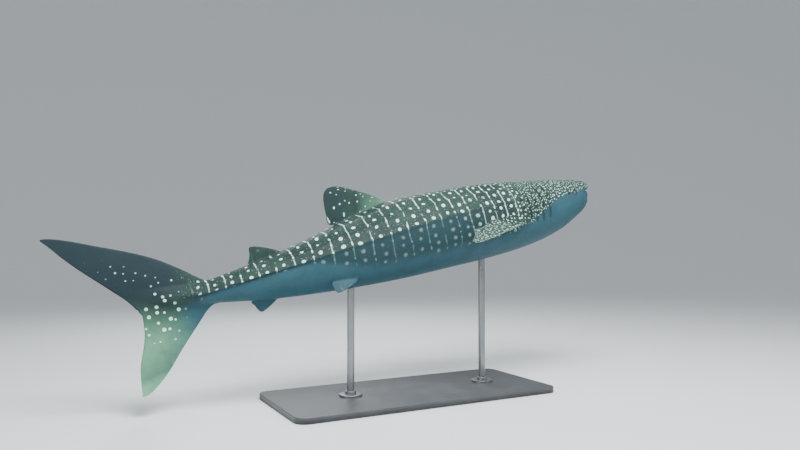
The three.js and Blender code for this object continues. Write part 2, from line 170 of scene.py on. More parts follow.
@dataclass
class SharkForm:
    """The shape of the body: its outline, its ridges, its gills and its pose."""

    length: float = LENGTH
    nose_up: float = math.radians(14.4)
    tail_bend: float = math.radians(10.0)
    bend: tuple[float, float] = (0.50, 0.80)
    balance: float = 0.41
    snout_height: float = 2.33
    mouth_level: float = -0.0045
    snout_setback: float = 0.030
    snout_end: float = 0.12
    tail_lag: float = 0.022
    lag_from: float = 0.80
    lag_span: float = 0.19
    # fraction of the length, top, bottom, half-width, level of the greatest width
    outline: Rows = (
        (0.016, 0.0178, -0.0335, 0.0605, -0.0050),
        (0.028, 0.0218, -0.0435, 0.0645, -0.0055),
        (0.042, 0.0250, -0.0510, 0.0675, -0.0060),
        (0.066, 0.0298, -0.0605, 0.0705, -0.0060),
        (0.095, 0.0352, -0.0705, 0.0735, -0.0060),
        (0.140, 0.0448, -0.0785, 0.0752, -0.0060),
        (0.200, 0.0545, -0.0823, 0.0748, -0.0055),
        (0.280, 0.0625, -0.0807, 0.0722, -0.0040),
        (0.360, 0.0682, -0.0757, 0.0682, -0.0020),
        (0.430, 0.0712, -0.0712, 0.0630, 0.0000),
        (0.500, 0.0630, -0.0645, 0.0560, 0.0020),
        (0.560, 0.0512, -0.0572, 0.0482, 0.0030),
        (0.620, 0.0388, -0.0488, 0.0402, 0.0030),
        (0.660, 0.0318, -0.0425, 0.0352, 0.0030),
        (0.700, 0.0268, -0.0355, 0.0300, 0.0026),
        (0.740, 0.0222, -0.0265, 0.0250, 0.0020),
        (0.780, 0.0182, -0.0180, 0.0200, 0.0010),
        (0.805, 0.0205, -0.0150, 0.0172, 0.0015),
        (0.830, 0.0250, -0.0085, 0.0128, 0.0070),
        (0.855, 0.0290, 0.0005, 0.0085, 0.0140),
        (0.878, 0.0325, 0.0120, 0.0045, 0.0220),
        (0.893, 0.0325, 0.0230, 0.0020, 0.0280),
    )
    # upper lip back, lower lip back, upper and lower level from the mouth line, half-width
    lips: Rows = (
        (0.0240, 0.0240, 0.0000, 0.0000, 0.0440),
        (0.0040, 0.0105, 0.0012, -0.0012, 0.0500),
        (-0.0010, 0.0050, 0.0055, -0.0055, 0.0530),
        (0.0015, 0.0052, 0.0112, -0.0125, 0.0555),
        (0.0075, 0.0100, 0.0180, -0.0215, 0.0582),
    )
    keel_heights: Rows = (
        (0.10, 0.006), (0.20, 0.016), (0.36, 0.0225), (0.50, 0.0172), (0.60, 0.0115),
        (0.70, 0.0062), (0.78, 0.0022), (0.83, 0.0085), (0.893, 0.0282),
    )
    upper_ridge: float = 0.34
    middle_ridge: float = 0.64
    ridge_height: float = 0.0026
    keel_ridge: float = 0.0050
    gill_places: tuple[float, ...] = (0.141, 0.157, 0.173, 0.188, 0.202)
    gill_half: tuple[float, ...] = (0.034, 0.034, 0.032, 0.028, 0.023)
    gill_level: float = 0.000
    gill_lift: float = 0.0016
    gill_step: float = 0.0014
    gill_run_in: float = 0.016
    gill_run_out: float = 0.014
    gill_bow: float = 0.005
    gill_bow_reach: float = 0.036
    gill_bow_limit: float = 0.008

    def part(self, line: Line, s: np.ndarray | float) -> np.ndarray:
        """Reads one line of the outline at places along the body."""
        return sample(self.outline, s, line.value)

    def power(self, s: np.ndarray | float) -> np.ndarray:
        """How square a section is: 2 is an ellipse."""
        return 2.45 - 0.45 * smooth(s, 0.05, 0.35)

    def keel_angle(self, s: np.ndarray | float) -> np.ndarray:
        """The girth angle of the keel, from the back downwards.

        Args:
            s: places along the body.

        Returns:
            The angle at each place.
        """
        top, level = self.part(Line.TOP, s), self.part(Line.LEVEL, s)
        share = np.clip((sample(self.keel_heights, s, 1) - level) / (top - level), 0.0, 1.0)
        return np.arccos(share ** (self.power(s) / 2))

    def place(self, back: np.ndarray, left: np.ndarray, up: np.ndarray) -> np.ndarray:
        """Moves points of the straight body to their places on the stand.

        Args:
            back: fractions of the length, back from the snout.
            left: fractions of the length, to the left.
            up: fractions of the length, upwards.

        Returns:
            The points in metres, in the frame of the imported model.
        """
        start, end = self.bend
        radius = (end - start) / self.tail_bend
        turn = self.tail_bend * np.clip((back - start) / (end - start), 0.0, 1.0)
        past = np.maximum(back - end, 0.0)
        along = np.minimum(back, start) + radius * np.sin(turn) + past * math.cos(self.tail_bend)
        aside = radius * (1 - np.cos(turn)) + past * math.sin(self.tail_bend)
        forward = self.balance - along + left * np.sin(turn)
        side = aside + left * np.cos(turn)
        c, s = math.cos(self.nose_up), math.sin(self.nose_up)
        rise = self.snout_height / self.length - self.balance * s
        points = np.stack([forward * c - up * s, side, forward * s + up * c + rise], axis=-1)
        return points * self.length

    def lag(self, s: np.ndarray) -> np.ndarray:
        """How far the tail's tips trail to the right."""
        return -self.tail_lag * np.maximum(0.0, (s - self.lag_from) / self.lag_span) ** 2

    def setback(self, s: np.ndarray | float, across: np.ndarray | float) -> np.ndarray:
        """How far the rounded snout lies back at its sides.

        Args:
            s: places along the body.
            across: shares of the half-width, from 0 to 1.

        Returns:
            The distance back, as fractions of the length.
        """
        return self.snout_setback * (1 - np.clip(s / self.snout_end, 0, 1)) ** 2 * across ** 4

    def gill_curve(self, height: np.ndarray) -> np.ndarray:
        """How far back the bowed gill slits lie at their upper and lower ends."""
        bow = self.gill_bow * ((height - self.gill_level) / self.gill_bow_reach) ** 2
        return np.minimum(bow, self.gill_bow_limit)

    def ridges(self, s: np.ndarray, angle: np.ndarray, keel: np.ndarray) -> np.ndarray:
        """How far the ridges stand out.

        Args:
            s: places along the body.
            angle: girth angles.
            keel: the keel's angle at each place.

        Returns:
            The height of the ridges, as fractions of the length.
        """
        grown = smooth(s, 0.15, 0.28) * (1 - smooth(s, 0.80, 0.86))
        keel_grown = grown * (1 + (self.keel_ridge / self.ridge_height - 1) * smooth(s, 0.60, 0.76))
        fade = grown * (1 - smooth(s, 0.62, 0.72))

        def crest(at: np.ndarray, height: np.ndarray) -> np.ndarray:
            """One ridge with a soft crest and a broad foot."""
            off = np.abs(angle - at)
            return height * (0.72 * np.exp(-((off / 0.040) ** 2)) + 0.28 * np.exp(-((off / 0.11) ** 2)))

        return self.ridge_height * (crest(keel, keel_grown) + crest(keel * self.middle_ridge, fade)
                                    + crest(keel * self.upper_ridge, fade))

    def gills(self, s: np.ndarray, height: np.ndarray) -> np.ndarray:
        """The gill flaps: each rises backwards and drops at its slit.

        Args:
            s: places along the body.
            height: heights on the flank.

        Returns:
            How far the skin stands out, as fractions of the length.
        """
        lift = np.zeros(np.broadcast(s, height).shape)
        start = self.gill_places[0] - self.gill_run_in
        for i, (place, half) in enumerate(zip(self.gill_places, self.gill_half)):
            within = smooth(np.abs(height - self.gill_level), half + 0.003, half - 0.007)
            rise = np.clip((s - start) / (place - start), 0.0, 1.0) ** 1.4
            first = 0.0 if i == 0 else -self.gill_lift
            flap = first + (self.gill_lift - first) * rise
            lift = np.where((s >= start) & (s <= place + 1e-9), flap * within, lift)
            start = place + self.gill_step
            if i == len(self.gill_places) - 1:
                fall = -self.gill_lift * within * (1 - np.clip((s - start) / self.gill_run_out, 0, 1)) ** 2
                lift = np.where(s > place + 1e-9, fall, lift)
            else:
                lift = np.where((s > place + 1e-9) & (s < start), -self.gill_lift * within, lift)
        return lift

    def inside(self, s: np.ndarray, y: np.ndarray, z: np.ndarray) -> np.ndarray:
        """Tells which points lie inside the body.

        Args:
            s: places along the body.
            y: offsets to the left.
            z: heights.

        Returns:
            Below 0 inside, above 0 outside.
        """
        level, power = self.part(Line.LEVEL, s), self.power(s)
        reach = np.where(z > level, self.part(Line.TOP, s) - level, level - self.part(Line.BOTTOM, s))
        return (np.abs(y) / self.part(Line.HALF, s)) ** power + (np.abs(z - level) / reach) ** power - 1.0


@dataclass
class Fin:
    """One fin: a blade between two edges, grown out of a patch of the body."""

    name: str
    leading: Pairs
    trailing: Pairs
    thick: float
    root_from: float
    root_to: float
    columns: int
    tip_thick: float = 0.006
    along: Triple = (1.0, 0.0, 0.0)
    out: Triple = (0.0, 0.0, 1.0)
    root: Triple = (0.0, 0.0, 0.0)
    droop: float = 0.0
    fillet: float = 0.0075
    rows: int = 30
    rim: float = 0.0022
    tone: float = 0.2
    rim_tone: float = 0.0
    front_tone: float = 0.0
    spots: float = 1.0
    dots: float = 0.0
    loose: float = 0.0
    faint: float = 0.0
    pale: float = 0.0
    hand: Hand = Hand.LEFT

    def points(self, t: np.ndarray, chord: np.ndarray, side: np.ndarray) -> np.ndarray:
        """Points on the blade, in fractions of the length: back, left, up.

        Args:
            t: places from root to tip.
            chord: places from the leading to the trailing edge.
            side: -1 to 1, across the thickness.

        Returns:
            The points, in the straight body's frame.
        """
        plane = spline(self.leading, t) * (1 - chord)[..., None] + spline(self.trailing, t) * chord[..., None]
        # thicker at the root, with a round front and a thin rear edge
        flare = 1 + 0.5 * np.exp(-t * 14)
        deep = (self.tip_thick + (self.thick - self.tip_thick) * (1 - t) ** 1.15) * flare
        shape = 2.05 * np.sqrt(chord) * (1 - chord) ** 0.85
        half = deep * shape * 0.5 + np.minimum(self.rim, chord * 0.03)
        along = np.array(self.along) / np.linalg.norm(self.along)
        out = np.array(self.out) / np.linalg.norm(self.out)
        normal = np.cross(along, out)
        normal /= np.linalg.norm(normal)
        spot = (np.array(self.root) + plane[..., :1] * along + plane[..., 1:] * out
                + (half * side / LENGTH)[..., None] * normal)
        spot[..., 2] -= self.droop * plane[..., 1] ** 2
        spot[..., 1] *= self.hand.value
        return spot


@dataclass
class Patch:
    """The cells of the body that a fin grows from, and the lines that run up the fin."""

    fin: Fin
    first: int
    last: int
    centre: int
    nose: float = 0.02

    @property
    def long(self) -> int:
        """How many cells it has along the body."""
        return self.last - self.first

    def columns(self, count: int) -> np.ndarray:
        """Its columns of cells, counted round a ring of so many."""
        return np.arange(self.centre - self.fin.columns, self.centre + self.fin.columns) % count

    def rim(self, count: int) -> tuple[np.ndarray, np.ndarray]:
        """Goes round the patch.

        Args:
            count: how many vertices a ring of the body has.

        Returns:
            The ring and the column of each vertex on the patch's rim.
        """
        wide, long = self.fin.columns, self.long
        low, high = self.centre - wide, self.centre + wide
        rim = ([(self.first + k, low) for k in range(long)] + [(self.last, low + k) for k in range(2 * wide)]
               + [(self.last - k, high) for k in range(long)]
               + [(self.first, high - k) for k in range(2 * wide)])
        rows, columns = np.array(rim).T
        return rows, columns % count

    def lines(self, start: np.ndarray) -> tuple[np.ndarray, np.ndarray]:
        """Gives each vertex of the rim its line on the blade.

        Args:
            start: the rim's points.

        Returns:
            The place on the chord and the side of each line.
        """
        fin, long, around = self.fin, self.long, 2 * self.fin.columns
        share = np.arange(long) / long
        back = self.nose + (1 - self.nose) * (0.5 - 0.5 * np.cos(math.pi * share ** 0.94))
        across = np.linspace(-1, 1, around + 1)[:-1]
        chord = np.concatenate([back, np.ones(around + 1), back[:0:-1], self.nose * across ** 2])
        side = np.concatenate([-np.ones(long), across, np.ones(long), -across])
        middle = np.array([0.5])
        through = (fin.points(middle, middle, np.ones(1)) - fin.points(middle, middle, -np.ones(1)))[0]
        over = start[long + around:2 * long + around].mean(0) - start[:long].mean(0)
        return chord, -side if np.dot(through, over) < 0 else side


@dataclass(frozen=True)
class Pit:
    """A small oval hollow in the skin."""

    at: tuple[float, float]
    size: tuple[float, float]
    depth: float

    def share(self, x: np.ndarray, y: np.ndarray) -> np.ndarray:
        """How far points lie in the hollow, from 0 outside to 1."""
        off = ((x - self.at[0]) / self.size[0]) ** 2 + ((y - self.at[1]) / self.size[1]) ** 2
        return np.exp(-off ** 2)


@dataclass
class SkinMesh:
    """The whole skin as one closed mesh: the body's tube, the tail's lobes and the fins."""

    form: SharkForm
    fins: list[Fin]
    # columns from the back to each ridge, the keel, the widest level and the belly
    counts: tuple[int, ...] = (14, 14, 16, 6, 34)
    step: float = 0.0029
    fork: float = 0.8812
    fork_level: float = -0.0095
    tail_start: float = 0.765
    stem_end: float = 0.8929
    last_keel: float = 0.778
    tail_crest: float = 0.135
    head_step: float = 0.0021
    fine_rings: Triple = (0.081, 0.096, 0.0007)
    fine_gap: tuple[float, float] = (0.0885, 0.0080)
    fillet_loops: int = 7
    lip_steps: int = 5
    nostril: Pit = Pit((0.031, 0.0040), (0.0046, 0.0017), 0.0024)
    spiracle: Pit = Pit((0.0880, 0.0020), (0.0026, 0.0016), 0.0017)
    pale_line: Rows = (
        (0.0, 0.0), (0.09, 0.0030), (0.12, 0.0), (0.14, -0.006), (0.165, -0.020), (0.19, -0.030),
        (0.26, -0.036), (0.36, -0.034), (0.45, -0.030), (0.52, -0.024), (0.57, -0.008), (0.61, 0.004),
        (0.66, 0.0045), (0.70, 0.0028), (0.78, -0.002), (0.90, -0.03))
    periods: Rows = ((0.0, 0.14), (0.20, 0.135), (0.30, 0.160), (0.45, 0.205), (0.60, 0.195), (0.70, 0.165),
                     (0.85, 0.15), (1.0, 0.15))
    upper_leading: Pairs = (
        (0.770, 0.0190), (0.777, 0.0200), (0.788, 0.0280), (0.806, 0.0439), (0.839, 0.0697), (0.872, 0.0892),
        (0.921, 0.1133), (0.953, 0.1290), (0.975, 0.1378), (0.986, 0.1402), (0.9895, 0.1400))
    upper_trailing: Pairs = (
        (0.8812, -0.0095), (0.8870, 0.0020), (0.8975, 0.0195), (0.912, 0.0375), (0.930, 0.0590),
        (0.951, 0.0845), (0.968, 0.1075), (0.980, 0.1260), (0.9885, 0.1375))
    lower_leading: Pairs = (
        (0.764, -0.0215), (0.774, -0.0215), (0.785, -0.0275), (0.800, -0.0419), (0.820, -0.0609),
        (0.841, -0.0815), (0.863, -0.1046), (0.887, -0.1236), (0.902, -0.1312), (0.9103, -0.1318))
    lower_trailing: Pairs = (
        (0.8812, -0.0095), (0.8824, -0.0225), (0.8845, -0.0370), (0.8890, -0.0520), (0.8955, -0.0680),
        (0.9025, -0.0860), (0.9070, -0.1080), (0.9100, -0.1290))
    vertices: list[np.ndarray] = field(default_factory=list)
    faces: list[tuple[int, ...]] = field(default_factory=list)
    marks: dict[str, list[np.ndarray]] = field(default_factory=dict)

    @property
    def half_count(self) -> int:
        """Columns from the back to the belly."""
        return sum(self.counts)

    @property
    def split(self) -> int:
        """The column where the tail's two lobes part."""
        return sum(self.counts[:4])

    def stations(self) -> np.ndarray:
        """Places of the body's rings, closer together at the head and the gills.

        Returns:
            Rising fractions of the length.
        """
        form = self.form
        start = form.gill_places[0] - form.gill_run_in
        head = np.arange(form.outline[0][0], start, self.head_step)
        slits: list[float] = []
        for place in form.gill_places:
            slits += list(np.linspace(start, place, 12)) + [place + form.gill_step * 0.5]
            start = place + form.gill_step
        slits += list(np.linspace(start, start + form.gill_run_out, 10))
        rest = np.arange(slits[-1] + self.step, self.tail_start, self.step)
        tail = np.linspace(rest[-1] + 0.002, self.fork, 46)
        centre, reach = self.fine_gap
        head = head[np.abs(head - centre) > reach]
        return np.unique(np.round(np.concatenate([head, np.arange(*self.fine_rings), slits, rest, tail]), 6))

    def angles(self, s: np.ndarray) -> np.ndarray:
        """Girth angles of the columns on one side, with columns on every ridge.

        Args:
            s: the places of the rings.

        Returns:
            One row of angles for each ring.
        """
        form = self.form
        keel = form.keel_angle(s)
        level = np.maximum(math.pi / 2, keel + 0.03)
        keys = [0 * keel, keel * form.upper_ridge, keel * form.middle_ridge, keel, level, math.pi + 0 * keel]
        parts = [a[:, None] + (b - a)[:, None] * (np.arange(n) / n)[None, :]
                 for a, b, n in zip(keys, keys[1:], self.counts)]
        ridged = np.concatenate([*parts, keys[-1][:, None]], axis=1)
        even = np.linspace(0, math.pi, self.half_count + 1)[None, :]
        share = smooth(s, 0.03, 0.13)[:, None]
        return even * (1 - share) + ridged * share

    def body_half(self, s: np.ndarray) -> np.ndarray:
        """Points of one side of the body's rings: back, left, up.

        Args:
            s: the places of the rings.

        Returns:
            An array of rings, columns and three values.
        """
        form = self.form
        angle = self.angles(s)
        place = s[:, None]
        exponent = 2 / form.power(place)
        level, top, bottom = (form.part(line, place) for line in (Line.LEVEL, Line.TOP, Line.BOTTOM))
        across = np.abs(np.sin(angle)) ** exponent
        rise = np.sign(np.cos(angle)) * np.abs(np.cos(angle)) ** exponent
        height = level + np.where(rise > 0, top - level, level - bottom) * rise
        keel = form.keel_angle(place)
        lift = form.ridges(place, angle, keel) + form.gills(place, height)
        y = form.part(Line.HALF, place) * across + lift * np.sin(angle)
        z = height + lift * np.cos(angle)
        near_gills = smooth(place, 0.105, 0.13) * (1 - smooth(place, 0.21, 0.25)) * (rise > -0.9)
        back = place + form.setback(place, across) + form.gill_curve(height) * near_gills
        return np.stack([back, y, z], axis=-1)

    def edge_height(self, edge: Pairs, s: np.ndarray) -> np.ndarray:
        """Follows a lobe's edge along the body.

        Args:
            edge: the edge's points.
            s: places along the body.

        Returns:
            The edge's height at each place.
        """
        line = spline(edge, np.linspace(0, 1, 400))
        order = np.argsort(line[:, 0])
        return np.interp(s, line[order, 0], line[order, 1])

    def edge_back(self, edge: Pairs, z: np.ndarray) -> np.ndarray:
        """Follows a lobe's edge upwards.

        Args:
            edge: the edge's points.
            z: heights.

        Returns:
            How far back the edge lies at each height.
        """
        line = spline(edge, np.linspace(0, 1, 400))
        order = np.argsort(line[:, 1])
        return np.interp(z, line[order, 1], line[order, 0])

    def tail_half(self, s: np.ndarray, lobe: Lobe = Lobe.BOTH) -> np.ndarray:
        """Points of one side of the rings through the tail fin.

        Args:
            s: the places of the rings.
            lobe: what the rings go round; past the fork it is one lobe.

        Returns:
            An array of rings, columns and three values.
        """
        form = self.form
        place = s[:, None]
        angle = self.angles(np.minimum(s, self.last_keel))
        rise = np.sign(np.cos(angle)) * np.abs(np.cos(angle)) ** (2 / form.power(place))
        on_stem = np.minimum(place, self.stem_end)
        level, half = form.part(Line.LEVEL, on_stem), form.part(Line.HALF, on_stem)
        stem_top, stem_bottom = form.part(Line.TOP, on_stem), form.part(Line.BOTTOM, on_stem)
        high = np.maximum(stem_top, self.edge_height(self.upper_leading, place))
        low = np.minimum(stem_bottom, self.edge_height(self.lower_leading, place))
        middle = form.part(Line.LEVEL, self.tail_start)
        middle = middle + (self.fork_level - middle) * smooth(place, 0.768, 0.84)
        if lobe is Lobe.UPPER:
            middle = self.edge_height(self.upper_trailing, place)
        elif lobe is Lobe.LOWER:
            middle = self.edge_height(self.lower_trailing, place)
        share = np.abs(rise) ** (1 - 0.35 * smooth(place, 0.77, 0.83))
        height = np.where(rise > 0, middle + (high - middle) * share, middle - (middle - low) * share)
        reach = np.where(height > level, stem_top - level, level - stem_bottom)
        stem = half * np.sqrt(np.clip(1 - (np.abs(height - level) / reach) ** 2, 0, 1))
        stem = stem * (place < self.stem_end)
        keel = form.ridges(place, angle, form.keel_angle(on_stem)) * (place < 0.86)
        blade = self.lobe_half(place, height, high, low) * smooth(place, 0.762, 0.775)
        y = (stem ** 3 + blade ** 3) ** (1 / 3) + keel * np.sin(angle)
        return np.stack([place + 0 * height, y, height], axis=-1)

    def lobe_half(self, s: np.ndarray, z: np.ndarray, high: np.ndarray, low: np.ndarray) -> np.ndarray:
        """Half the thickness of the tail fin.

        Args:
            s: places along the body.
            z: heights.
            high: height of the upper lobe's leading edge.
            low: height of the lower lobe's leading edge.

        Returns:
            The half-thickness, as fractions of the length.
        """
        above = z > self.fork_level
        from_edge = np.where(above, (high - z) * 0.80, (z - low) * 0.66)
        to_edge = np.where(above, self.edge_back(self.upper_trailing, z),
                           self.edge_back(self.lower_trailing, z)) - s
        taper = np.where(above, 1 - smooth(z, 0.0, 0.155), 1 - smooth(-z, 0.0, 0.150))
        thick = 0.0012 + 0.0054 * taper
        front = np.clip(from_edge / 0.030, 0, 1) ** 0.5
        rear = np.clip(to_edge / 0.050, 0, 1) ** 0.8
        rim = 0.0004 * np.clip(from_edge / 0.002, 0, 1) ** 0.5
        return thick * front * rear + rim

    def whole_rings(self, half: np.ndarray) -> np.ndarray:
        """Adds the right side to rings that hold the left one."""
        right = half[:, 1:-1][:, ::-1] * np.array([1.0, -1.0, 1.0])
        return np.concatenate([half, right], axis=1)

    def lip_rings(self, first: np.ndarray, second: np.ndarray) -> np.ndarray:
        """The lips' rings, run smoothly into the body's first ones.

        Args:
            first: one side of the body's first ring.
            second: one side of a ring a little further back.

        Returns:
            One side of each ring.
        """
        form = self.form
        angle = np.linspace(0, math.pi, self.half_count + 1)
        control = []
        for upper_back, lower_back, upper, lower, half in form.lips:
            power = 2.45 + 0.9 * (1 - upper / 0.018)
            across = np.abs(np.sin(angle)) ** (2 / power)
            rise = np.sign(np.cos(angle)) * np.abs(np.cos(angle)) ** 0.82
            height = form.mouth_level + 0.0015 * (1 - across ** 2) + np.where(rise > 0, upper, -lower) * rise
            share = 0.5 + 0.5 * np.clip(np.cos(angle) * 3, -1, 1)
            back = lower_back + (upper_back - lower_back) * share + form.setback(0.0, across)
            control.append(np.stack([back, half * across, height], axis=-1))
        control += [first, second]
        rings = []
        for i in range(len(form.lips)):
            p0, p1 = control[max(i - 1, 0)], control[i]
            p2, p3 = control[i + 1], control[min(i + 2, len(control) - 1)]
            for t in np.arange(self.lip_steps) / self.lip_steps:
                rings.append(0.5 * (2 * p1 + (p2 - p0) * t + (2 * p0 - 5 * p1 + 4 * p2 - p3) * t ** 2
                                    + (3 * p1 - p0 - 3 * p2 + p3) * t ** 3))
        return np.array(rings)

    def add(self, points: np.ndarray, **marks: np.ndarray) -> np.ndarray:
        """Adds vertices with their marks.

        Args:
            points: the vertices in the straight body's frame.
            marks: a value of each mark for every vertex.

        Returns:
            The numbers of the new vertices, in the shape of the points.
        """
        start = sum(len(v) for v in self.vertices)
        flat = points.reshape(-1, 3)
        self.vertices.append(flat)
        for name in MARKS:
            value = np.broadcast_to(np.asarray(marks.get(name, 0.0), float), points.shape[:-1])
            self.marks.setdefault(name, []).append(value.reshape(-1))
        return np.arange(start, start + len(flat)).reshape(points.shape[:-1])

    def tube(self, rows: np.ndarray, skip: np.ndarray | None = None) -> None:
        """Joins closed rings of vertices with faces.

        Args:
            rows: vertex numbers, one row for each ring.
            skip: cells that stay open, one for each face.
        """
        after = np.roll(rows, -1, axis=1)
        cells = np.stack([rows[:-1], after[:-1], after[1:], rows[1:]], axis=-1)
        kept = cells.reshape(-1, 4) if skip is None else cells[~skip]
        self.faces += [tuple(cell) for cell in kept.tolist()]

    def zip_end(self, ring: np.ndarray, flip: bool) -> None:
        """Closes a flat ring by joining its two sides."""
        count = len(ring)
        for k in range(count // 2):
            quad = [ring[k], ring[(k + 1) % count], ring[-(k + 2) % count], ring[-(k + 1) % count]]
            quad = [int(v) for v in dict.fromkeys(quad)]
            if len(quad) > 2:
                self.faces.append(tuple(reversed(quad)) if flip else tuple(quad))

    def pale_at(self, s: np.ndarray, z: np.ndarray) -> np.ndarray:
        """How far the dark back has given way to the pale belly.

        Args:
            s: places along the body.
            z: heights.

        Returns:
            The share of each point, 1 where it is pale.
        """
        line = sample(self.pale_line, s, 1)
        soft = 0.0065 + 0.0055 * smooth(s, 0.12, 0.25) * (1 - smooth(s, 0.50, 0.60))
        soft = soft - 0.004 * smooth(s, 0.55, 0.64)
        body = smooth(z - line, soft, -soft)
        front = smooth(z, -0.004, -0.014) * (1 - smooth(s + 0.55 * z, 0.785, 0.835))
        return body * (1 - smooth(s, 0.775, 0.80)) + front * smooth(s, 0.775, 0.80)

    def low_at(self, s: np.ndarray, z: np.ndarray) -> np.ndarray:
        """How far the skin lies in the band below the keel, where the keel's shade is painted into the
        colour.
        """
        keel = sample(self.form.keel_heights, s, 1)
        return smooth(z - keel, 0.0016, -0.0022) * smooth(s, 0.24, 0.36) * (1 - smooth(s, 0.79, 0.83))

    def lobe_tone(self, s: np.ndarray, z: np.ndarray) -> np.ndarray:
        """How pale or dark the tail fin is: dark above as painted shade, paler down the lower lobe as painted
        light.

        Args:
            s: places along the body.
            z: heights.

        Returns:
            The tone of each point, below 0 where it is darker.
        """
        # the lower lobe's front root stays less pale, as painted shade
        inner = smooth(z - self.edge_height(self.lower_leading, s), 0.0, 0.055)
        low = smooth(z - 0.35 * (s - 0.84), 0.0, -0.075) * (0.50 + 0.50 * inner)
        tip = smooth(z, -0.085, -0.125)
        return -0.80 * smooth(z, -0.004, 0.030) + np.maximum(0.78 * low, tip)

    def scatter_at(self, s: np.ndarray, z: np.ndarray) -> np.ndarray:
        """Where the tail fin has its loose spots: at its lower root and in a band above.

        Args:
            s: places along the body.
            z: heights.

        Returns:
            The share of each point, 1 where they are largest.
        """
        root = smooth(((s - 0.853) / 0.040) ** 2 + ((z + 0.020) / 0.040) ** 2, 1.25, 0.7)
        band = smooth(np.abs(z - 0.012 - 0.52 * (s - 0.80)), 0.024, 0.008) * (1 - smooth(s, 0.90, 0.97))
        return np.maximum(root, 0.30 * band) * smooth(s, 0.79, 0.81)

    def shade_at(self, rings: np.ndarray, lips: int) -> np.ndarray:
        """Where shade is painted dark into the skin: in the gill slits and along the mouth.

        Args:
            rings: the rings' points.
            lips: how many rings belong to the lips.

        Returns:
            The darkness of each vertex.
        """
        form = self.form
        dark = np.zeros(rings.shape[:-1])
        dark[:3] = 1.0
        dark[3] = 0.6
        s = rings[..., 0] - form.gill_curve(rings[..., 2])
        for place, half in zip(form.gill_places, form.gill_half):
            within = smooth(np.abs(rings[..., 2] - form.gill_level), half + 0.002, half - 0.006)
            near = smooth(np.abs(s - place - form.gill_step * 0.7), 0.0019, 0.0004)
            dark = np.maximum(dark, 0.58 * near * within)
        dark[:lips] *= np.linspace(1, 0.3, lips)[:, None]
        return dark

    def columns(self, u: np.ndarray) -> tuple[np.ndarray, np.ndarray]:
        """Counts the columns of spots along the body.

        Args:
            u: distances from the snout in metres.

        Returns:
            The count of columns and the width of one at each place.
        """
        places = np.linspace(-0.2, self.form.length + 0.2, 600)
        widths = sample(self.periods, places / self.form.length, 1)
        between = 0.5 * (widths[1:] + widths[:-1])
        counts = np.concatenate([[0.0], np.cumsum(np.diff(places) / between)])
        return np.interp(u, places, counts), np.interp(u, places, widths)

    def along(self, rings: np.ndarray, place: np.ndarray) -> np.ndarray:
        """Measures along the skin from the snout, so that the pattern isn't drawn out there.

        Args:
            rings: the rings' points.
            place: their places along the body.

        Returns:
            The distance of each vertex in metres.
        """
        fixed = int(np.searchsorted(place, 0.11))
        steps = np.linalg.norm(np.diff(rings[:fixed + 1], axis=0), axis=-1)
        ahead = np.concatenate([np.cumsum(steps[::-1], axis=0)[::-1], np.zeros((1, rings.shape[1]))])
        u = rings[..., 0].copy()
        u[:fixed + 1] = rings[fixed, :, 0] - ahead
        return u * self.form.length

    def upright(self, side: np.ndarray, z: np.ndarray) -> np.ndarray:
        """Measures down from above the tail, in place of the girth.

        Args:
            side: above or at 0 on the left, below 0 on the right.
            z: heights on the straight body.

        Returns:
            The distance in metres, below 0 on the right.
        """
        return np.where(side >= 0, 1.0, -1.0) * (self.tail_crest - z * self.form.length)

    def dent(self, points: np.ndarray) -> np.ndarray:
        """Sinks the nostrils and the spiracles into the skin.

        Args:
            points: every vertex of the straight body; they are moved in place.

        Returns:
            How dark each vertex gets: painted shade in the hollows.
        """
        back, left, up = points.T
        nostril = self.nostril.share(np.abs(left), up) * (back < 0.022) * (up > -0.003)
        hole = self.spiracle.share(back, up) * (np.abs(left) > 0.04)
        points[:, 0] += self.nostril.depth * nostril
        points[:, 1] -= np.sign(left) * self.spiracle.depth * hole
        return np.clip(1.2 * (nostril + hole), 0, 1)

    def build(self) -> None:
        """Makes every vertex and face of the skin."""
        form = self.form
        stations = self.stations()
        half = np.concatenate([self.body_half(stations[stations < self.tail_start]),
                               self.tail_half(stations[stations >= self.tail_start])])
        lips = self.lip_rings(half[0], half[6])
        half = np.concatenate([lips, half])
        place = np.concatenate([np.full(len(lips), 0.0), stations])
        rings = self.whole_rings(half)
        steps = np.linalg.norm(np.diff(half, axis=1), axis=-1)
        girth = np.concatenate([np.zeros((len(half), 1)), np.cumsum(steps, axis=1)], axis=1) * form.length
        signed = np.concatenate([girth, -girth[:, 1:-1][:, ::-1]], axis=1)
        s, z = rings[..., 0], rings[..., 2]
        tail = smooth(s, 0.79, 0.83)
        on_body = np.clip(place, form.outline[0][0], self.last_keel)
        keel_v = np.array([np.interp(k, a, g) for k, a, g in zip(
            form.keel_angle(on_body), self.angles(on_body), girth)])
        signed = signed + (self.upright(signed, z) - signed) * smooth(s, 0.785, 0.815)
        # dark is painted shade in the slits and the mouth, low the keel's painted shade, and the tail's tone
        # partly painted light and shade
        numbers = self.add(
            rings, pat_u=self.along(rings, place), pat_v=signed, pale=self.pale_at(s, z),
            head=1 - smooth(s, 0.15, 0.235), column=smooth(s, 0.205, 0.228) * (1 - smooth(s, 0.785, 0.805)),
            dark=self.shade_at(rings, len(lips)), tone=self.lobe_tone(s, z) * tail, faint=tail,
            scatter=self.scatter_at(s, z), keel_v=keel_v[:, None] + 0 * s, low=self.low_at(s, z))
        skip = np.zeros((len(rings) - 1, rings.shape[1]), bool)
        patches = [self.patch(fin, place, rings, len(lips)) for fin in self.fins]
        for patch in patches:
            skip[patch.first:patch.last, patch.columns(rings.shape[1])] = True
        self.tube(numbers, skip)
        for patch in patches:
            self.grow(patch, numbers, rings, signed, keel_v)
        self.lobes(numbers[-1])
        LOG.info("skin: %d vertices", sum(len(v) for v in self.vertices))

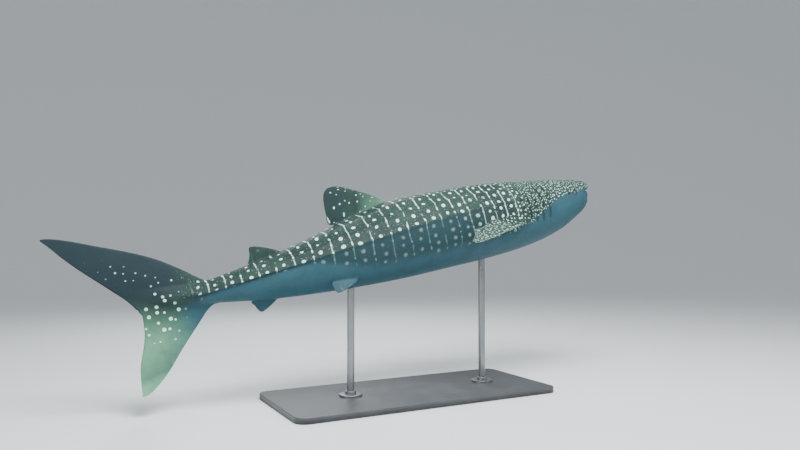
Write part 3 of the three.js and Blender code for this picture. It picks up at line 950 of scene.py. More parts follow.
    def patch(self, fin: Fin, place: np.ndarray, rings: np.ndarray, lips: int) -> Patch:
        """Finds the cells that a fin grows from.

        Args:
            fin: the fin.
            place: the places of the rings.
            rings: the rings' points.
            lips: how many rings belong to the lips.

        Returns:
            The fin's patch, with its middle where the fin leaves the body.
        """
        first, last = (int(np.searchsorted(place[lips:], s)) + lips for s in (fin.root_from, fin.root_to))
        t = np.linspace(0, 1, 200)
        line = fin.points(t, np.full(200, 0.45), np.zeros(200))
        foot = line[int(np.argmax(self.form.inside(*line.T) > 0))]
        ring = rings[(first + last) // 2]
        centre = int(np.argmin(np.linalg.norm(ring[:, 1:] - foot[1:], axis=1)))
        return Patch(fin, first, last, centre)

    def feet(self, fin: Fin, chord: np.ndarray, side: np.ndarray) -> np.ndarray:
        """Finds where the lines of a blade leave the body.

        Args:
            fin: the fin.
            chord: each line's place on the chord.
            side: each line's side.

        Returns:
            The place of each line's foot, from root to tip.
        """
        foot, top = np.zeros(len(chord)), np.full(len(chord), 0.6)
        for _ in range(30):
            guess = (foot + top) / 2
            out = self.form.inside(*fin.points(guess, chord, side).T) > 0
            top, foot = np.where(out, guess, top), np.where(out, foot, guess)
        return foot

    def fin_loops(self, fin: Fin, start: np.ndarray, chord: np.ndarray, side: np.ndarray) -> np.ndarray:
        """Runs a fin's lines out of the body in a soft fillet and on to the tip.

        Args:
            fin: the fin.
            start: the rim of its patch.
            chord: each line's place on the chord.
            side: each line's side.

        Returns:
            One loop of points for each step up the fin.
        """
        foot = self.feet(fin, chord, side)
        base = fin.points(foot, chord, side)
        ahead = fin.points(np.minimum(foot + 0.05, 1), chord, side) - base
        pace = np.linalg.norm(ahead, axis=1) / 0.05
        clear = np.minimum(foot + fin.fillet / np.maximum(pace, 1e-4), 0.75)
        lifted = fin.points(clear, chord, side)
        loops = [(1 - t) ** 2 * start + 2 * t * (1 - t) * base + t ** 2 * lifted
                 for t in np.linspace(0, 1, self.fillet_loops + 1)[1:]]
        for t in np.arange(1, fin.rows + 1) / fin.rows:
            span = clear + (0.997 - clear) * (1 - (1 - t) ** 1.35)
            loops.append(fin.points(span, chord, side))
        return np.array(loops)

    def grow(self, patch: Patch, numbers: np.ndarray, rings: np.ndarray, signed: np.ndarray,
             keel_v: np.ndarray) -> None:
        """Grows a fin out of its patch.

        Args:
            patch: the fin's patch.
            numbers: the body's vertex numbers.
            rings: the body's points.
            signed: the body's girth distances.
            keel_v: the keel's distance from the back's middle line on each ring.
        """
        fin = patch.fin
        rows, columns = patch.rim(numbers.shape[1])
        start = rings[rows, columns]
        chord, side = patch.lines(start)
        loops = self.fin_loops(fin, start, chord, side)
        far = np.linalg.norm(loops - start, axis=-1) * self.form.length
        rank = np.concatenate([np.zeros(self.fillet_loops), np.arange(1, fin.rows + 1) / fin.rows])[:, None]
        sign = np.where(signed[rows, columns] >= 0, 1.0, -1.0)
        away = smooth(far, 0.0, 0.10)
        rim = smooth(np.abs(chord - 0.5) * 2, 0.86, 1.0)
        front = (1 - smooth(chord, 0.00, 0.80)) * (1 - smooth(rank, 0.10, 0.60))
        # the keel's painted shade runs onto the fins' roots and fades up them
        new = self.add(
            loops, pat_u=loops[..., 0] * self.form.length, pat_v=signed[rows, columns] + sign * far,
            keel_v=keel_v[rows], low=self.low_at(start[:, 0], start[:, 2]) * (1 - rank) ** 4,
            pale=self.pale_at(start[:, 0], start[:, 2]) * (1 - away) + fin.pale * away,
            head=fin.dots * smooth(far, 0.0, 0.06), column=1 - (1 - fin.spots) * smooth(far, 0.0, 0.025),
            faint=fin.faint * smooth(far, 0.0, 0.03), scatter=fin.loose * smooth(far, 0.02, 0.10),
            tone=fin.tone * smooth(far, 0.02, 0.20) + fin.rim_tone * rim * smooth(far, 0.06, 0.2)
            + fin.front_tone * front * smooth(far, 0, 0.06))
        self.tube(np.concatenate([numbers[rows, columns][None, :], new]))
        self.close_tip(new[-1].tolist(), patch.long, 2 * fin.columns)

    def close_tip(self, ring: list[int], long: int, around: int) -> None:
        """Closes a fin's tip by joining its two faces.

        Args:
            ring: vertex numbers of the last loop.
            long: cells along the patch.
            around: cells across it.
        """
        turned = ring + ring[:1]
        right, left = turned[:long + 1], turned[long + around:2 * long + around + 1][::-1]
        for k in range(long):
            self.faces.append((right[k], right[k + 1], left[k + 1], left[k]))
        self.faces.append(tuple(turned[long:long + around + 1]))
        self.faces.append(tuple(turned[2 * long + around:]))

    def lobes(self, last: np.ndarray) -> None:
        """Adds the two lobes of the tail fin past the fork.

        Args:
            last: vertex numbers of the body's last ring.
        """
        count = len(last)
        for lobe, trailing, steps, low, high in (
                (Lobe.UPPER, self.upper_trailing, 46, -self.split, self.split),
                (Lobe.LOWER, self.lower_trailing, 34, self.split, count - self.split)):
            half = self.tail_half(spline(trailing, np.linspace(0, 1, steps)[1:])[:, 0], lobe)
            columns = np.arange(low, high + 1) % count
            rings = self.whole_rings(half)[:, columns]
            s, left, z = (rings[..., k] for k in range(3))
            new = self.add(rings, pat_u=s * self.form.length, pat_v=self.upright(left, z), faint=1.0,
                           tone=self.lobe_tone(s, z), keel_v=0.1, scatter=self.scatter_at(s, z))
            self.tube(np.concatenate([last[columns][None, :], new]))
            self.zip_end(new[-1], flip=lobe is Lobe.LOWER)

    def to_object(self, name: str) -> bpy.types.Object:
        """Makes the mesh object, with the marks as attributes.

        Args:
            name: the object's name.

        Returns:
            The new object, in place.
        """
        points = np.concatenate(self.vertices)
        # painted shade: the slits, the mouth and the hollows of the nostrils and spiracles
        dark = np.maximum(np.concatenate(self.marks["dark"]), self.dent(points))
        phase, pitch = self.columns(np.concatenate(self.marks["pat_u"]))
        self.marks.update(dark=[dark], phase=[phase], pitch=[pitch])
        points[:, 1] += self.form.lag(points[:, 0])
        placed = self.form.place(*points.T)
        mesh = bpy.data.meshes.new(name)
        mesh.from_pydata(placed.tolist(), [], self.faces)
        for key, values in self.marks.items():
            mesh.attributes.new(key, "FLOAT", "POINT").data.foreach_set(
                "value", np.concatenate(values).astype(np.float32))
        skin = bpy.data.objects.new(name, mesh)
        bpy.context.scene.collection.objects.link(skin)
        edit = bmesh.new()
        edit.from_mesh(mesh)
        bmesh.ops.remove_doubles(edit, verts=edit.verts, dist=2e-5)
        bmesh.ops.dissolve_degenerate(edit, edges=edit.edges, dist=1e-6)
        bmesh.ops.recalc_face_normals(edit, faces=edit.faces)
        open_edges = sum(1 for e in edit.edges if not e.is_manifold)
        LOG.info("skin: %d faces, %d open or shared edges", len(edit.faces), open_edges)
        edit.to_mesh(mesh)
        edit.free()
        mesh.shade_smooth()
        return skin


def shark_fins() -> list[Fin]:
    """The fins, as the solids have them.

    Returns:
        Every fin but the tail's.
    """
    fins = [
        Fin(name="first_dorsal", thick=0.074, root_from=0.436, root_to=0.540, columns=4, rows=34,
            leading=((0.440, 0.060), (0.446, 0.0715), (0.467, 0.0880), (0.490, 0.1005), (0.513, 0.1118),
                     (0.530, 0.1180), (0.5425, 0.1196)),
            trailing=((0.530, 0.048), (0.558, 0.0580), (0.5585, 0.0740), (0.5578, 0.0930),
                      (0.5555, 0.1060), (0.5520, 0.1130), (0.5470, 0.1172)),
            spots=0.0, loose=0.36, faint=1.0, tone=-0.25, front_tone=0.40),
        Fin(name="second_dorsal", thick=0.034, root_from=0.644, root_to=0.6965, columns=4, rows=18,
            leading=((0.646, 0.024), (0.651, 0.0345), (0.663, 0.0420), (0.676, 0.0482), (0.688, 0.0526),
                     (0.6955, 0.0540)),
            trailing=((0.688, 0.021), (0.708, 0.0252), (0.7035, 0.0330), (0.7005, 0.0420),
                      (0.6995, 0.0500), (0.6985, 0.0530)),
            fillet=0.004, tone=-0.25, faint=0.95),
        Fin(name="anal", thick=0.030, root_from=0.665, root_to=0.7085, columns=2, rows=18,
            leading=((0.669, -0.030), (0.674, -0.0405), (0.682, -0.0460), (0.692, -0.0512),
                     (0.700, -0.0545)),
            trailing=((0.699, -0.026), (0.7165, -0.0330), (0.7115, -0.0420), (0.7080, -0.0500),
                      (0.7045, -0.0545)),
            fillet=0.004, faint=0.9, pale=0.75, tone=0.0),
    ]
    for hand in Hand:
        side = hand.name.lower()
        fins.append(Fin(
            name=f"pectoral_{side}", root=(0.205, 0.068, -0.026), along=(0.988, 0, 0.154),
            out=(0.04, 0.97, -0.235), droop=0.25, hand=hand, thick=0.062, tip_thick=0.008,
            leading=((-0.003, -0.018), (0.004, 0.0050), (0.046, 0.0300), (0.096, 0.0570), (0.136, 0.0765),
                     (0.156, 0.0835), (0.1665, 0.0835)),
            trailing=((0.062, -0.018), (0.098, 0.0060), (0.124, 0.0180), (0.133, 0.0360), (0.149, 0.0560),
                      (0.163, 0.0720), (0.1690, 0.0810)),
            root_from=0.2020, root_to=0.2770, columns=4, rows=40, tone=0.03, rim_tone=0.30, spots=0.0,
            dots=0.20))
        fins.append(Fin(
            name=f"pelvic_{side}", root=(0.542, 0.036, -0.040), along=(0.985, -0.08, 0.15),
            out=(0.05, 0.72, -0.69), hand=hand, thick=0.030,
            leading=((-0.002, -0.012), (0.003, 0.0050), (0.016, 0.0140), (0.030, 0.0220), (0.040, 0.0255)),
            trailing=((0.032, -0.012), (0.046, 0.0050), (0.0465, 0.0140), (0.0460, 0.0210),
                      (0.0440, 0.0250)),
            root_from=0.5400, root_to=0.5820, columns=3, rows=16, fillet=0.003, faint=0.8, pale=0.60,
            tone=-0.5))
    return fins


@dataclass(frozen=True)
class Value:
    """A number, a place or a colour in a material's network; arithmetic on it adds the steps."""

    nodes: Nodes
    socket: bpy.types.NodeSocket

    def __add__(self, other: Value | float) -> Value:
        """Adds another number."""
        return self.nodes.math("ADD", self, other)

    def __sub__(self, other: Value | float) -> Value:
        """Takes another number away."""
        return self.nodes.math("SUBTRACT", self, other)

    def __rsub__(self, other: float) -> Value:
        """Takes this number away from a plain one."""
        return self.nodes.math("SUBTRACT", other, self)

    def __mul__(self, other: Value | float) -> Value:
        """Multiplies by another number."""
        return self.nodes.math("MULTIPLY", self, other)

    def __truediv__(self, other: Value | float) -> Value:
        """Divides by another number."""
        return self.nodes.math("DIVIDE", self, other)

    def __abs__(self) -> Value:
        """Drops the sign."""
        return self.nodes.math("ABSOLUTE", self)

    def floor(self) -> Value:
        """The whole number below."""
        return self.nodes.math("FLOOR", self)

    def fract(self) -> Value:
        """What is over that whole number."""
        return self.nodes.math("FRACT", self)

    def larger(self, other: Value | float) -> Value:
        """The larger of two numbers."""
        return self.nodes.math("MAXIMUM", self, other)

    def about(self, width: float) -> Value:
        """Spreads a chance or a noise evenly about 0."""
        return (self - 0.5) * width

    def beside(self, out: int | str) -> Value:
        """Another output of the same node."""
        return Value(self.nodes, self.socket.node.outputs[out])


class Nodes:
    """Builds a material's network one step at a time."""

    def __init__(self, name: str) -> None:
        """Starts a material with a principled surface.

        Args:
            name: the material's name.
        """
        self.material = bpy.data.materials.new(name)
        self.material.use_nodes = True
        self.tree = self.material.node_tree
        self.surface = self.tree.nodes["Principled BSDF"]

    def put(self, socket: bpy.types.NodeSocket, value: Value | float | Triple) -> None:
        """Joins a value or sets a number or a colour on a socket."""
        if isinstance(value, Value):
            self.tree.links.new(value.socket, socket)
        elif isinstance(value, tuple) and socket.type == "RGBA":
            socket.default_value = (*value, 1.0)
        else:
            socket.default_value = value

    def step(self, kind: str, inputs: dict[int | str, Value | float | Triple], out: int | str = 0,
             **settings: str) -> Value:
        """Adds one node.

        Args:
            kind: its type, without the first word.
            inputs: what its inputs get.
            out: the output that is used.
            settings: its options.

        Returns:
            That output.
        """
        node = self.tree.nodes.new(f"ShaderNode{kind}")
        for name, option in settings.items():
            setattr(node, name, option)
        for key, value in inputs.items():
            self.put(node.inputs[key], value)
        return Value(self, node.outputs[out])

    def math(self, kind: str, *values: Value | float) -> Value:
        """Adds one step of arithmetic."""
        return self.step("Math", dict(enumerate(values)), operation=kind)

    def ramp(self, value: Value, low: Value | float, high: Value | float, start: float = 0.0,
             end: float = 1.0) -> Value:
        """Maps a value smoothly from one range to another.

        Args:
            value: what is mapped.
            low: the value that gives the start.
            high: the value that gives the end.
            start: the result at low.
            end: the result at high.

        Returns:
            The result.
        """
        return self.step("MapRange", dict(enumerate((value, low, high, start, end))),
                         interpolation_type="SMOOTHSTEP")

    def marks(self, *names: str) -> list[Value]:
        """Reads some of the mesh's marks."""
        return [self.step("Attribute", {}, "Fac", attribute_name=name) for name in names]

    def combine(self, x: Value | float, y: Value | float, z: float = 0.0) -> Value:
        """Makes a place out of three numbers."""
        return self.step("CombineXYZ", {0: x, 1: y, 2: z})

    def channels(self, colour: Value) -> list[Value]:
        """Parts a colour into its three numbers."""
        first = self.step("SeparateColor", {0: colour})
        return [first.beside(k) for k in range(3)]

    def place(self) -> Value:
        """The place on the object, in metres."""
        return self.step("TexCoord", {}, "Object")

    def scaled(self, where: Value, factor: Triple, shift: Triple = (0.0, 0.0, 0.0)) -> Value:
        """Stretches a place and then moves it."""
        return self.step("VectorMath", {0: where, 1: factor, 2: shift}, operation="MULTIPLY_ADD")

    def noise(self, where: Value, scale: float, detail: float = 2.0, rough: float = 0.5) -> Value:
        """Adds a soft noise between 0 and 1.

        Args:
            where: the place that it is read at.
            scale: how many grains fall in a metre.
            detail: how many finer layers it has.
            rough: how strong those are.

        Returns:
            The noise's value.
        """
        return self.step("TexNoise", {"Vector": where, "Scale": scale, "Detail": detail, "Roughness": rough},
                         "Fac")

    def chance(self, x: Value, y: Value | float = 0.0, seed: float = 0.0) -> list[Value]:
        """Adds three random numbers that belong to one cell.

        Args:
            x: the cell's column.
            y: the cell's row.
            seed: sets one draw apart from another.

        Returns:
            Three values between 0 and 1.
        """
        cell = self.combine(x, y, seed)
        return self.channels(self.step("TexWhiteNoise", {"Vector": cell}, "Color", noise_dimensions="3D"))

    def blend(self, share: Value, first: Value | Triple, second: Value | Triple) -> Value:
        """Mixes two colours.

        Args:
            share: how much of the second one shows.
            first: the first colour.
            second: the second colour.

        Returns:
            The mixed colour.
        """
        return self.step("Mix", {0: share, 6: first, 7: second}, 2, data_type="RGBA")

    def bump(self, height: Value, depth: float, strength: float) -> None:
        """Raises fine detail on the surface.

        Args:
            height: the detail, between 0 and 1.
            depth: how high it stands, in metres.
            strength: how much of it shows.
        """
        self.put(self.surface.inputs["Normal"], self.step(
            "Bump", {"Strength": strength, "Distance": depth, "Height": height}))

    def finish(self, colour: Value | Triple, rough: Value | float, **constants: float) -> bpy.types.Material:
        """Sets the surface.

        Args:
            colour: the base colour.
            rough: the roughness.
            constants: other inputs by name, with _ for a space.

        Returns:
            The finished material.
        """
        self.put(self.surface.inputs["Base Color"], colour)
        self.put(self.surface.inputs["Roughness"], rough)
        for name, value in constants.items():
            self.put(self.surface.inputs[name.replace("_", " ")], value)
        return self.material


@dataclass(frozen=True)
class Dots:
    """A layer of scattered round dots of mixed sizes."""

    pitch: float
    spread: float
    seed: float
    loose: float = 0.72

    def shown(self, n: Nodes, where: Value, radius: Value | float) -> Value:
        """Adds the layer.

        Args:
            n: the network.
            where: the place on the skin, in metres.
            radius: the largest radius.

        Returns:
            How bright the dots are.
        """
        place = n.scaled(where, (1 / self.pitch, 1 / self.pitch, 1.0), (self.seed, self.seed * 1.7, 0.0))
        cells = n.step("TexVoronoi", {"Vector": place, "Scale": 1.0, "Randomness": self.loose}, "Distance",
                       voronoi_dimensions="2D")
        size, bright, _ = n.channels(cells.beside("Color"))
        share = cells / ((1.0 - size * self.spread) * n.math("DIVIDE", radius, self.pitch))
        return n.ramp(share, 1.15, 0.8) * n.ramp(bright, 0.0, 1.0, 0.62, 1.0)


@dataclass(frozen=True)
class SkinFinish:
    """The painted skin: a dark back with rows of pale spots and bars, and a pale belly darkened with painted
    shade; painted shade also lies below the keel and in the slits, and painted light and shade on the tail
    fin.
    """

    back: Triple = (0.013, 0.034, 0.029)
    shoulder: Triple = (0.026, 0.060, 0.046)
    deep: Triple = (0.013, 0.026, 0.035)
    spot: Triple = (0.700, 0.940, 0.850)
    # the belly's pale colour, darkened to a blue-grey with painted shade, as the underside lies away from the
    # light
    belly: Triple = (0.026, 0.082, 0.108)
    # the dark blue-teal of the painted shade below the keel; also the darker blotches on the belly
    flank: Triple = (0.012, 0.042, 0.053)
    # the pale green of the fins' rims and fronts; on the tail's lower lobe it is painted light
    pale_fin: Triple = (0.160, 0.380, 0.235)
    # the painted shade in the gill slits, the mouth and the hollows of the nostrils and spiracles
    slit: Triple = (0.006, 0.011, 0.013)
    row_pitch: float = 0.094
    spot_radius: float = 0.0220
    bead_pitch: float = 0.076
    side_gap: float = 500.0
    fine: Dots = Dots(0.0335, 0.35, 5.0)
    middle: Dots = Dots(0.050, 0.45, 9.0)
    loose: Dots = Dots(0.090, 0.5, 14.0)
    specks: Dots = Dots(0.047, 0.6, 2.0)

    def column_spots(self, n: Nodes, phase: Value, pitch: Value, rows_at: Value, side: Value,
                     rel: Value, scale: Value, blur: Value) -> Value:
        """The large round spots, one column of them in each period, in rows along the keel.

        Args:
            n: the network.
            phase: the count of columns along the body.
            pitch: the width of a column in metres.
            rows_at: the distance below the keel in metres.
            side: tells the left from the right.
            rel: 0 on the back's middle line and 1 on the keel.
            scale: shrinks the spots and their rows towards the tail.
            blur: how soft their edges are, from 0 to 1.

        Returns:
            How bright the spots are.
        """
        column = phase.floor() + side * self.side_gap
        shift, sway, _ = n.chance(column, seed=3.0)
        step = scale * self.row_pitch
        rows = rows_at / step + (shift * 0.34 + 0.66)
        row = rows.floor()
        jog, slide, size = n.chance(column, row, 7.0)
        _, bright, keep = n.chance(column, row, 11.0)
        du = (phase.fract() - 0.5 - (jog.about(0.13) + sway.about(0.10))) * pitch
        dv = (rows.fract() - 0.5 - slide.about(0.22)) * step
        far = n.math("SQRT", du * du + dv * dv)
        grow = n.ramp(rel, 0.0, 1.0, 0.60, 1.0) * (scale * self.spot_radius)
        radius = (size * 0.36 + 0.72) * grow
        edge = blur * 0.42
        shape = n.ramp(far / radius, edge * 0.5 + 1.10, 0.86 - edge)
        return shape * (bright * 0.20 + 0.80) * n.ramp(keep, 0.04, 0.08)

    def bars(self, n: Nodes, phase: Value, pitch: Value, rows_at: Value, side: Value,
             wobble: Value) -> Value:
        """The thin broken bars between the columns, with long beads on them.

        Args:
            n: the network.
            phase: the count of columns along the body.
            pitch: the width of a column in metres.
            rows_at: the distance below the keel in metres.
            side: tells the left from the right.
            wobble: a noise that bends the bars.

        Returns:
            How bright the bars are.
        """
        moved = phase + 0.5 + wobble.about(0.30)
        bar = moved.floor() + side * self.side_gap
        du = (moved.fract() - 0.5) * pitch
        shift, _, _ = n.chance(bar, seed=19.0)
        rows = rows_at / self.bead_pitch + (shift * 0.5 + 0.55)
        slide, size, bright = n.chance(bar, rows.floor(), 23.0)
        broken = n.noise(n.combine(bar * 3.7, rows_at), 8.0, 1.0)
        width = broken * 0.0060 + 0.0016
        line = n.ramp(abs(du), width * 1.5, width * 0.6) * n.ramp(broken, 0.40, 0.54, 0.0, 0.60)
        dv = (rows.fract() - 0.5 - slide.about(0.3)) * self.bead_pitch
        long = dv / (size * 0.013 + 0.009)
        wide = du / 0.0090
        bead = n.ramp(long * long + wide * wide, 1.35, 0.7)
        return line.larger(bead * n.ramp(bright, 0.20, 0.50, 0.0, 0.85))

    def pattern(self, n: Nodes, pale: Value, head: Value, faint: Value, low: Value) -> Value:
        """Every pale mark of the skin.

        Args:
            n: the network.
            pale: 1 on the belly, where no mark shows.
            head: 1 at the front, where fine dots take the place of the rows.
            faint: 1 on the fins that have loose spots only.
            low: 1 in the band below the keel, where the keel's shade is painted.

        Returns:
            How bright the marks are.
        """
        u, v, phase, pitch, keel_v, column, scatter = n.marks(
            "pat_u", "pat_v", "phase", "pitch", "keel_v", "column", "scatter")
        flat = n.combine(u, v)
        soft, other = n.noise(flat, 4.5, 1.0), n.noise(flat, 6.0, 1.0)
        side, away = n.math("SIGN", v), abs(v)
        rows_at = away - keel_v + other.about(0.04)
        moved = phase + soft.about(0.22)
        scale = n.ramp(keel_v, 0.08, 0.34, 0.55, 1.0)
        large = self.column_spots(n, moved, pitch, rows_at, side, away / keel_v, scale, low)
        lines = self.bars(n, moved, pitch, rows_at, side, n.noise(n.combine(0.0, v), 2.2, 1.0))
        big = large.larger(lines) * column
        near = n.ramp(head + other.about(0.30), 0.40, 0.46)
        fine = near * self.fine.shown(n, flat, head * 0.0029 + 0.0052)
        middle = (1.0 - near) * n.ramp(head, 0.05, 0.10) * self.middle.shown(n, flat, 0.0125)
        loose = self.loose.shown(n, flat, scatter * 0.0118 + 0.0072) * n.ramp(scatter, 0.05, 0.50)
        specks = self.specks.shown(n, flat, 0.0060) * ((1.0 - faint.larger(head)) * 0.22)
        spots = big.larger(fine.larger(middle)) * (1.0 - faint)
        # the spots fade in the band below the keel, as painted shade
        shown = n.ramp(pale + soft.about(0.35), 0.80, 0.22) * (1.0 - low * 0.85)
        return spots.larger(loose.larger(specks)) * shown

    def make(self) -> bpy.types.Material:
        """Builds the skin's material.

        Returns:
            The material.
        """
        n = Nodes("skin_paint")
        pale, head, tone, dark, faint, low = n.marks("pale", "head", "tone", "dark", "faint", "low")
        spots = self.pattern(n, pale, head, faint, low)
        clouds = n.noise(n.place(), 2.6, 4.0, 0.6)
        base = n.blend(n.ramp(clouds, 0.36, 0.66, 0.0, 0.75), self.back, self.shoulder)
        base = n.blend(head * 0.40, base, self.shoulder)
        # negative tone darkens the fins; on the tail fin's upper lobe this is painted shade
        base = n.blend((tone * -1.0).larger(0.0), base, self.deep)
        # painted shade: the band below the keel is mixed towards the dark blue-teal of the keel's shadow
        base = n.blend(low * 0.80, base, self.flank)
        mottle = n.noise(n.place(), 60.0, 5.0, 0.65)
        base = n.blend(n.ramp(mottle, 0.30, 0.72, 0.0, 0.35), base, self.deep)
        blotch = n.ramp(n.noise(n.place(), 7.0, 4.0, 0.6), 0.40, 0.70, 0.0, 0.30)
        # the belly: its own pale colour with painted shade, mottled with darker blotches
        base = n.blend(pale, base, n.blend(blotch, self.belly, self.flank))
        streak = n.ramp(n.noise(n.place(), 14.0, 4.0, 0.6), 0.35, 0.75, 0.0, 0.28)
        # positive tone pales the fins' rims and fronts; on the tail fin's lower lobe this is painted light
        base = n.blend(tone.larger(0.0), base, n.blend(streak, self.pale_fin, self.belly))
        colour = n.blend(spots * 0.95, base, self.spot)
        # painted shade in the slits, the mouth and the hollows
        colour = n.blend(dark, colour, self.slit)
        rough = n.ramp(n.noise(n.place(), 35.0, 4.0), 0.25, 0.75, 0.50, 0.68)
        n.bump(n.noise(n.place(), 420.0, 2.0) * 0.6 + n.noise(n.place(), 26.0, 3.0) * 0.8, 0.0022, 0.55)
        return n.finish(colour, rough, Specular_IOR_Level=0.18)


@dataclass(frozen=True)
class EyeFinish:
    """A glossy dark eye with a thin pale iris round the pupil."""

    pupil: Triple = (0.004, 0.005, 0.006)
    iris: Triple = (0.022, 0.028, 0.027)
    white: Triple = (0.055, 0.072, 0.070)

    def make(self) -> bpy.types.Material:
        """Builds the eye's material.

        Returns:
            The material.
        """
        n = Nodes("eye_gloss")
        ring = n.marks("ring")[0]
        streaks = n.noise(n.place(), 260.0, 3.0)
        iris = n.blend(n.ramp(streaks, 0.35, 0.7), self.iris, self.white)
        colour = n.blend(n.ramp(ring, 0.40, 0.46), self.pupil, iris)
        colour = n.blend(n.ramp(ring, 0.72, 0.82), colour, self.iris)
        return n.finish(colour, 0.10, Coat_Weight=1.0, Coat_Roughness=0.03)


@dataclass(frozen=True)
class PaintFinish:
    """A satin paint with a faint orange-peel and slight wear."""

    name: str
    colour: Triple
    worn: Triple
    metal: float = 0.0
    rough: tuple[float, float] = (0.38, 0.52)
    brushed: bool = False

    def make(self) -> bpy.types.Material:
        """Builds the paint or the metal.

        Returns:
            The material.
        """
        n = Nodes(self.name)
        where = n.scaled(n.place(), (1.0, 1.0, 60.0)) if self.brushed else n.place()
        grain = n.noise(where, 9.0 if self.brushed else 220.0, 4.0)
        clouds = n.noise(n.place(), 3.5, 5.0, 0.6)
        colour = n.blend(n.ramp(clouds, 0.42, 0.72, 0.0, 0.45), self.colour, self.worn)
        rough = n.ramp((grain + clouds) * 0.5, 0.30, 0.70, *self.rough)
        n.bump(grain, 0.0006, 0.35)
        return n.finish(colour, rough, Metallic=self.metal)


@dataclass(frozen=True)
class StudioFinish:
    """The pale matt floor."""

    colour: Triple = (0.74, 0.77, 0.78)

    def make(self) -> bpy.types.Material:
        """Builds the floor's material."""
        return Nodes("studio_floor").finish(self.colour, 0.9)


def select(mesh: bpy.types.Mesh, kind: Pick, chosen: list[bool]) -> None:
    """Selects the given faces or edges of the object in edit mode and nothing else.

    Args:
        mesh: the object's mesh.
        kind: faces or edges.
        chosen: whether each of them is selected.
    """
    bpy.ops.mesh.select_all(action="DESELECT")
    bpy.ops.mesh.select_mode(type=kind.value)
    bpy.ops.object.mode_set(mode="OBJECT")
    for item, pick in zip(mesh.polygons if kind is Pick.FACE else mesh.edges, chosen):
        item.select = pick
    bpy.ops.object.mode_set(mode="EDIT")


def settle(piece: bpy.types.Object, material: bpy.types.Material, name: str) -> bpy.types.Object:
    """Puts a piece's place into its mesh and gives it a name, a material and a slot.

    Args:
        piece: the modelled piece.
        material: its material.
        name: its name.

    Returns:
        The piece, riding on the model.
    """
    piece.data.transform(piece.matrix_world)
    piece.matrix_world = Matrix.Identity(4)
    piece.name = piece.data.name = name
    piece.data.materials.clear()
    piece.data.materials.append(material)
    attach(piece, "root")
    LOG.info("%s: %d faces", name, len(piece.data.polygons))
    return piece


def plain_marks(piece: bpy.types.Object, tone: float) -> None:
    """Gives a small piece of skin marks without spots.

    Args:
        piece: the piece.
        tone: how pale or dark it is.
    """
    plain = dict.fromkeys((*MARKS, "phase"), 0.0) | {"tone": tone, "faint": 1.0, "pitch": 0.15, "keel_v": 0.3}
    for key, value in plain.items():
        marks = piece.data.attributes.new(key, "FLOAT", "POINT")
        marks.data.foreach_set("value", [value] * len(piece.data.vertices))


@dataclass
class Skin:
    """The one skin that stands for the body, its fins and its tail."""

    form: SharkForm
    nodes: tuple[str, ...] = (
        "head", "torso", "tail_stem", "first_dorsal_fin", "second_dorsal_fin", "anal_fin",
        "caudal_upper_lobe", "caudal_lower_lobe", "pectoral_fin_left", "pectoral_fin_right",
        "pelvic_fin_left", "pelvic_fin_right")

    def build(self, material: bpy.types.Material) -> bpy.types.Object:
        """Makes the skin.

        Args:
            material: the skin's paint.

        Returns:
            The finished skin.
        """
        work = SkinMesh(self.form, shark_fins())
        work.build()
        skin = settle(work.to_object("skin"), material, "skin")
        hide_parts(*self.nodes)
        return skin


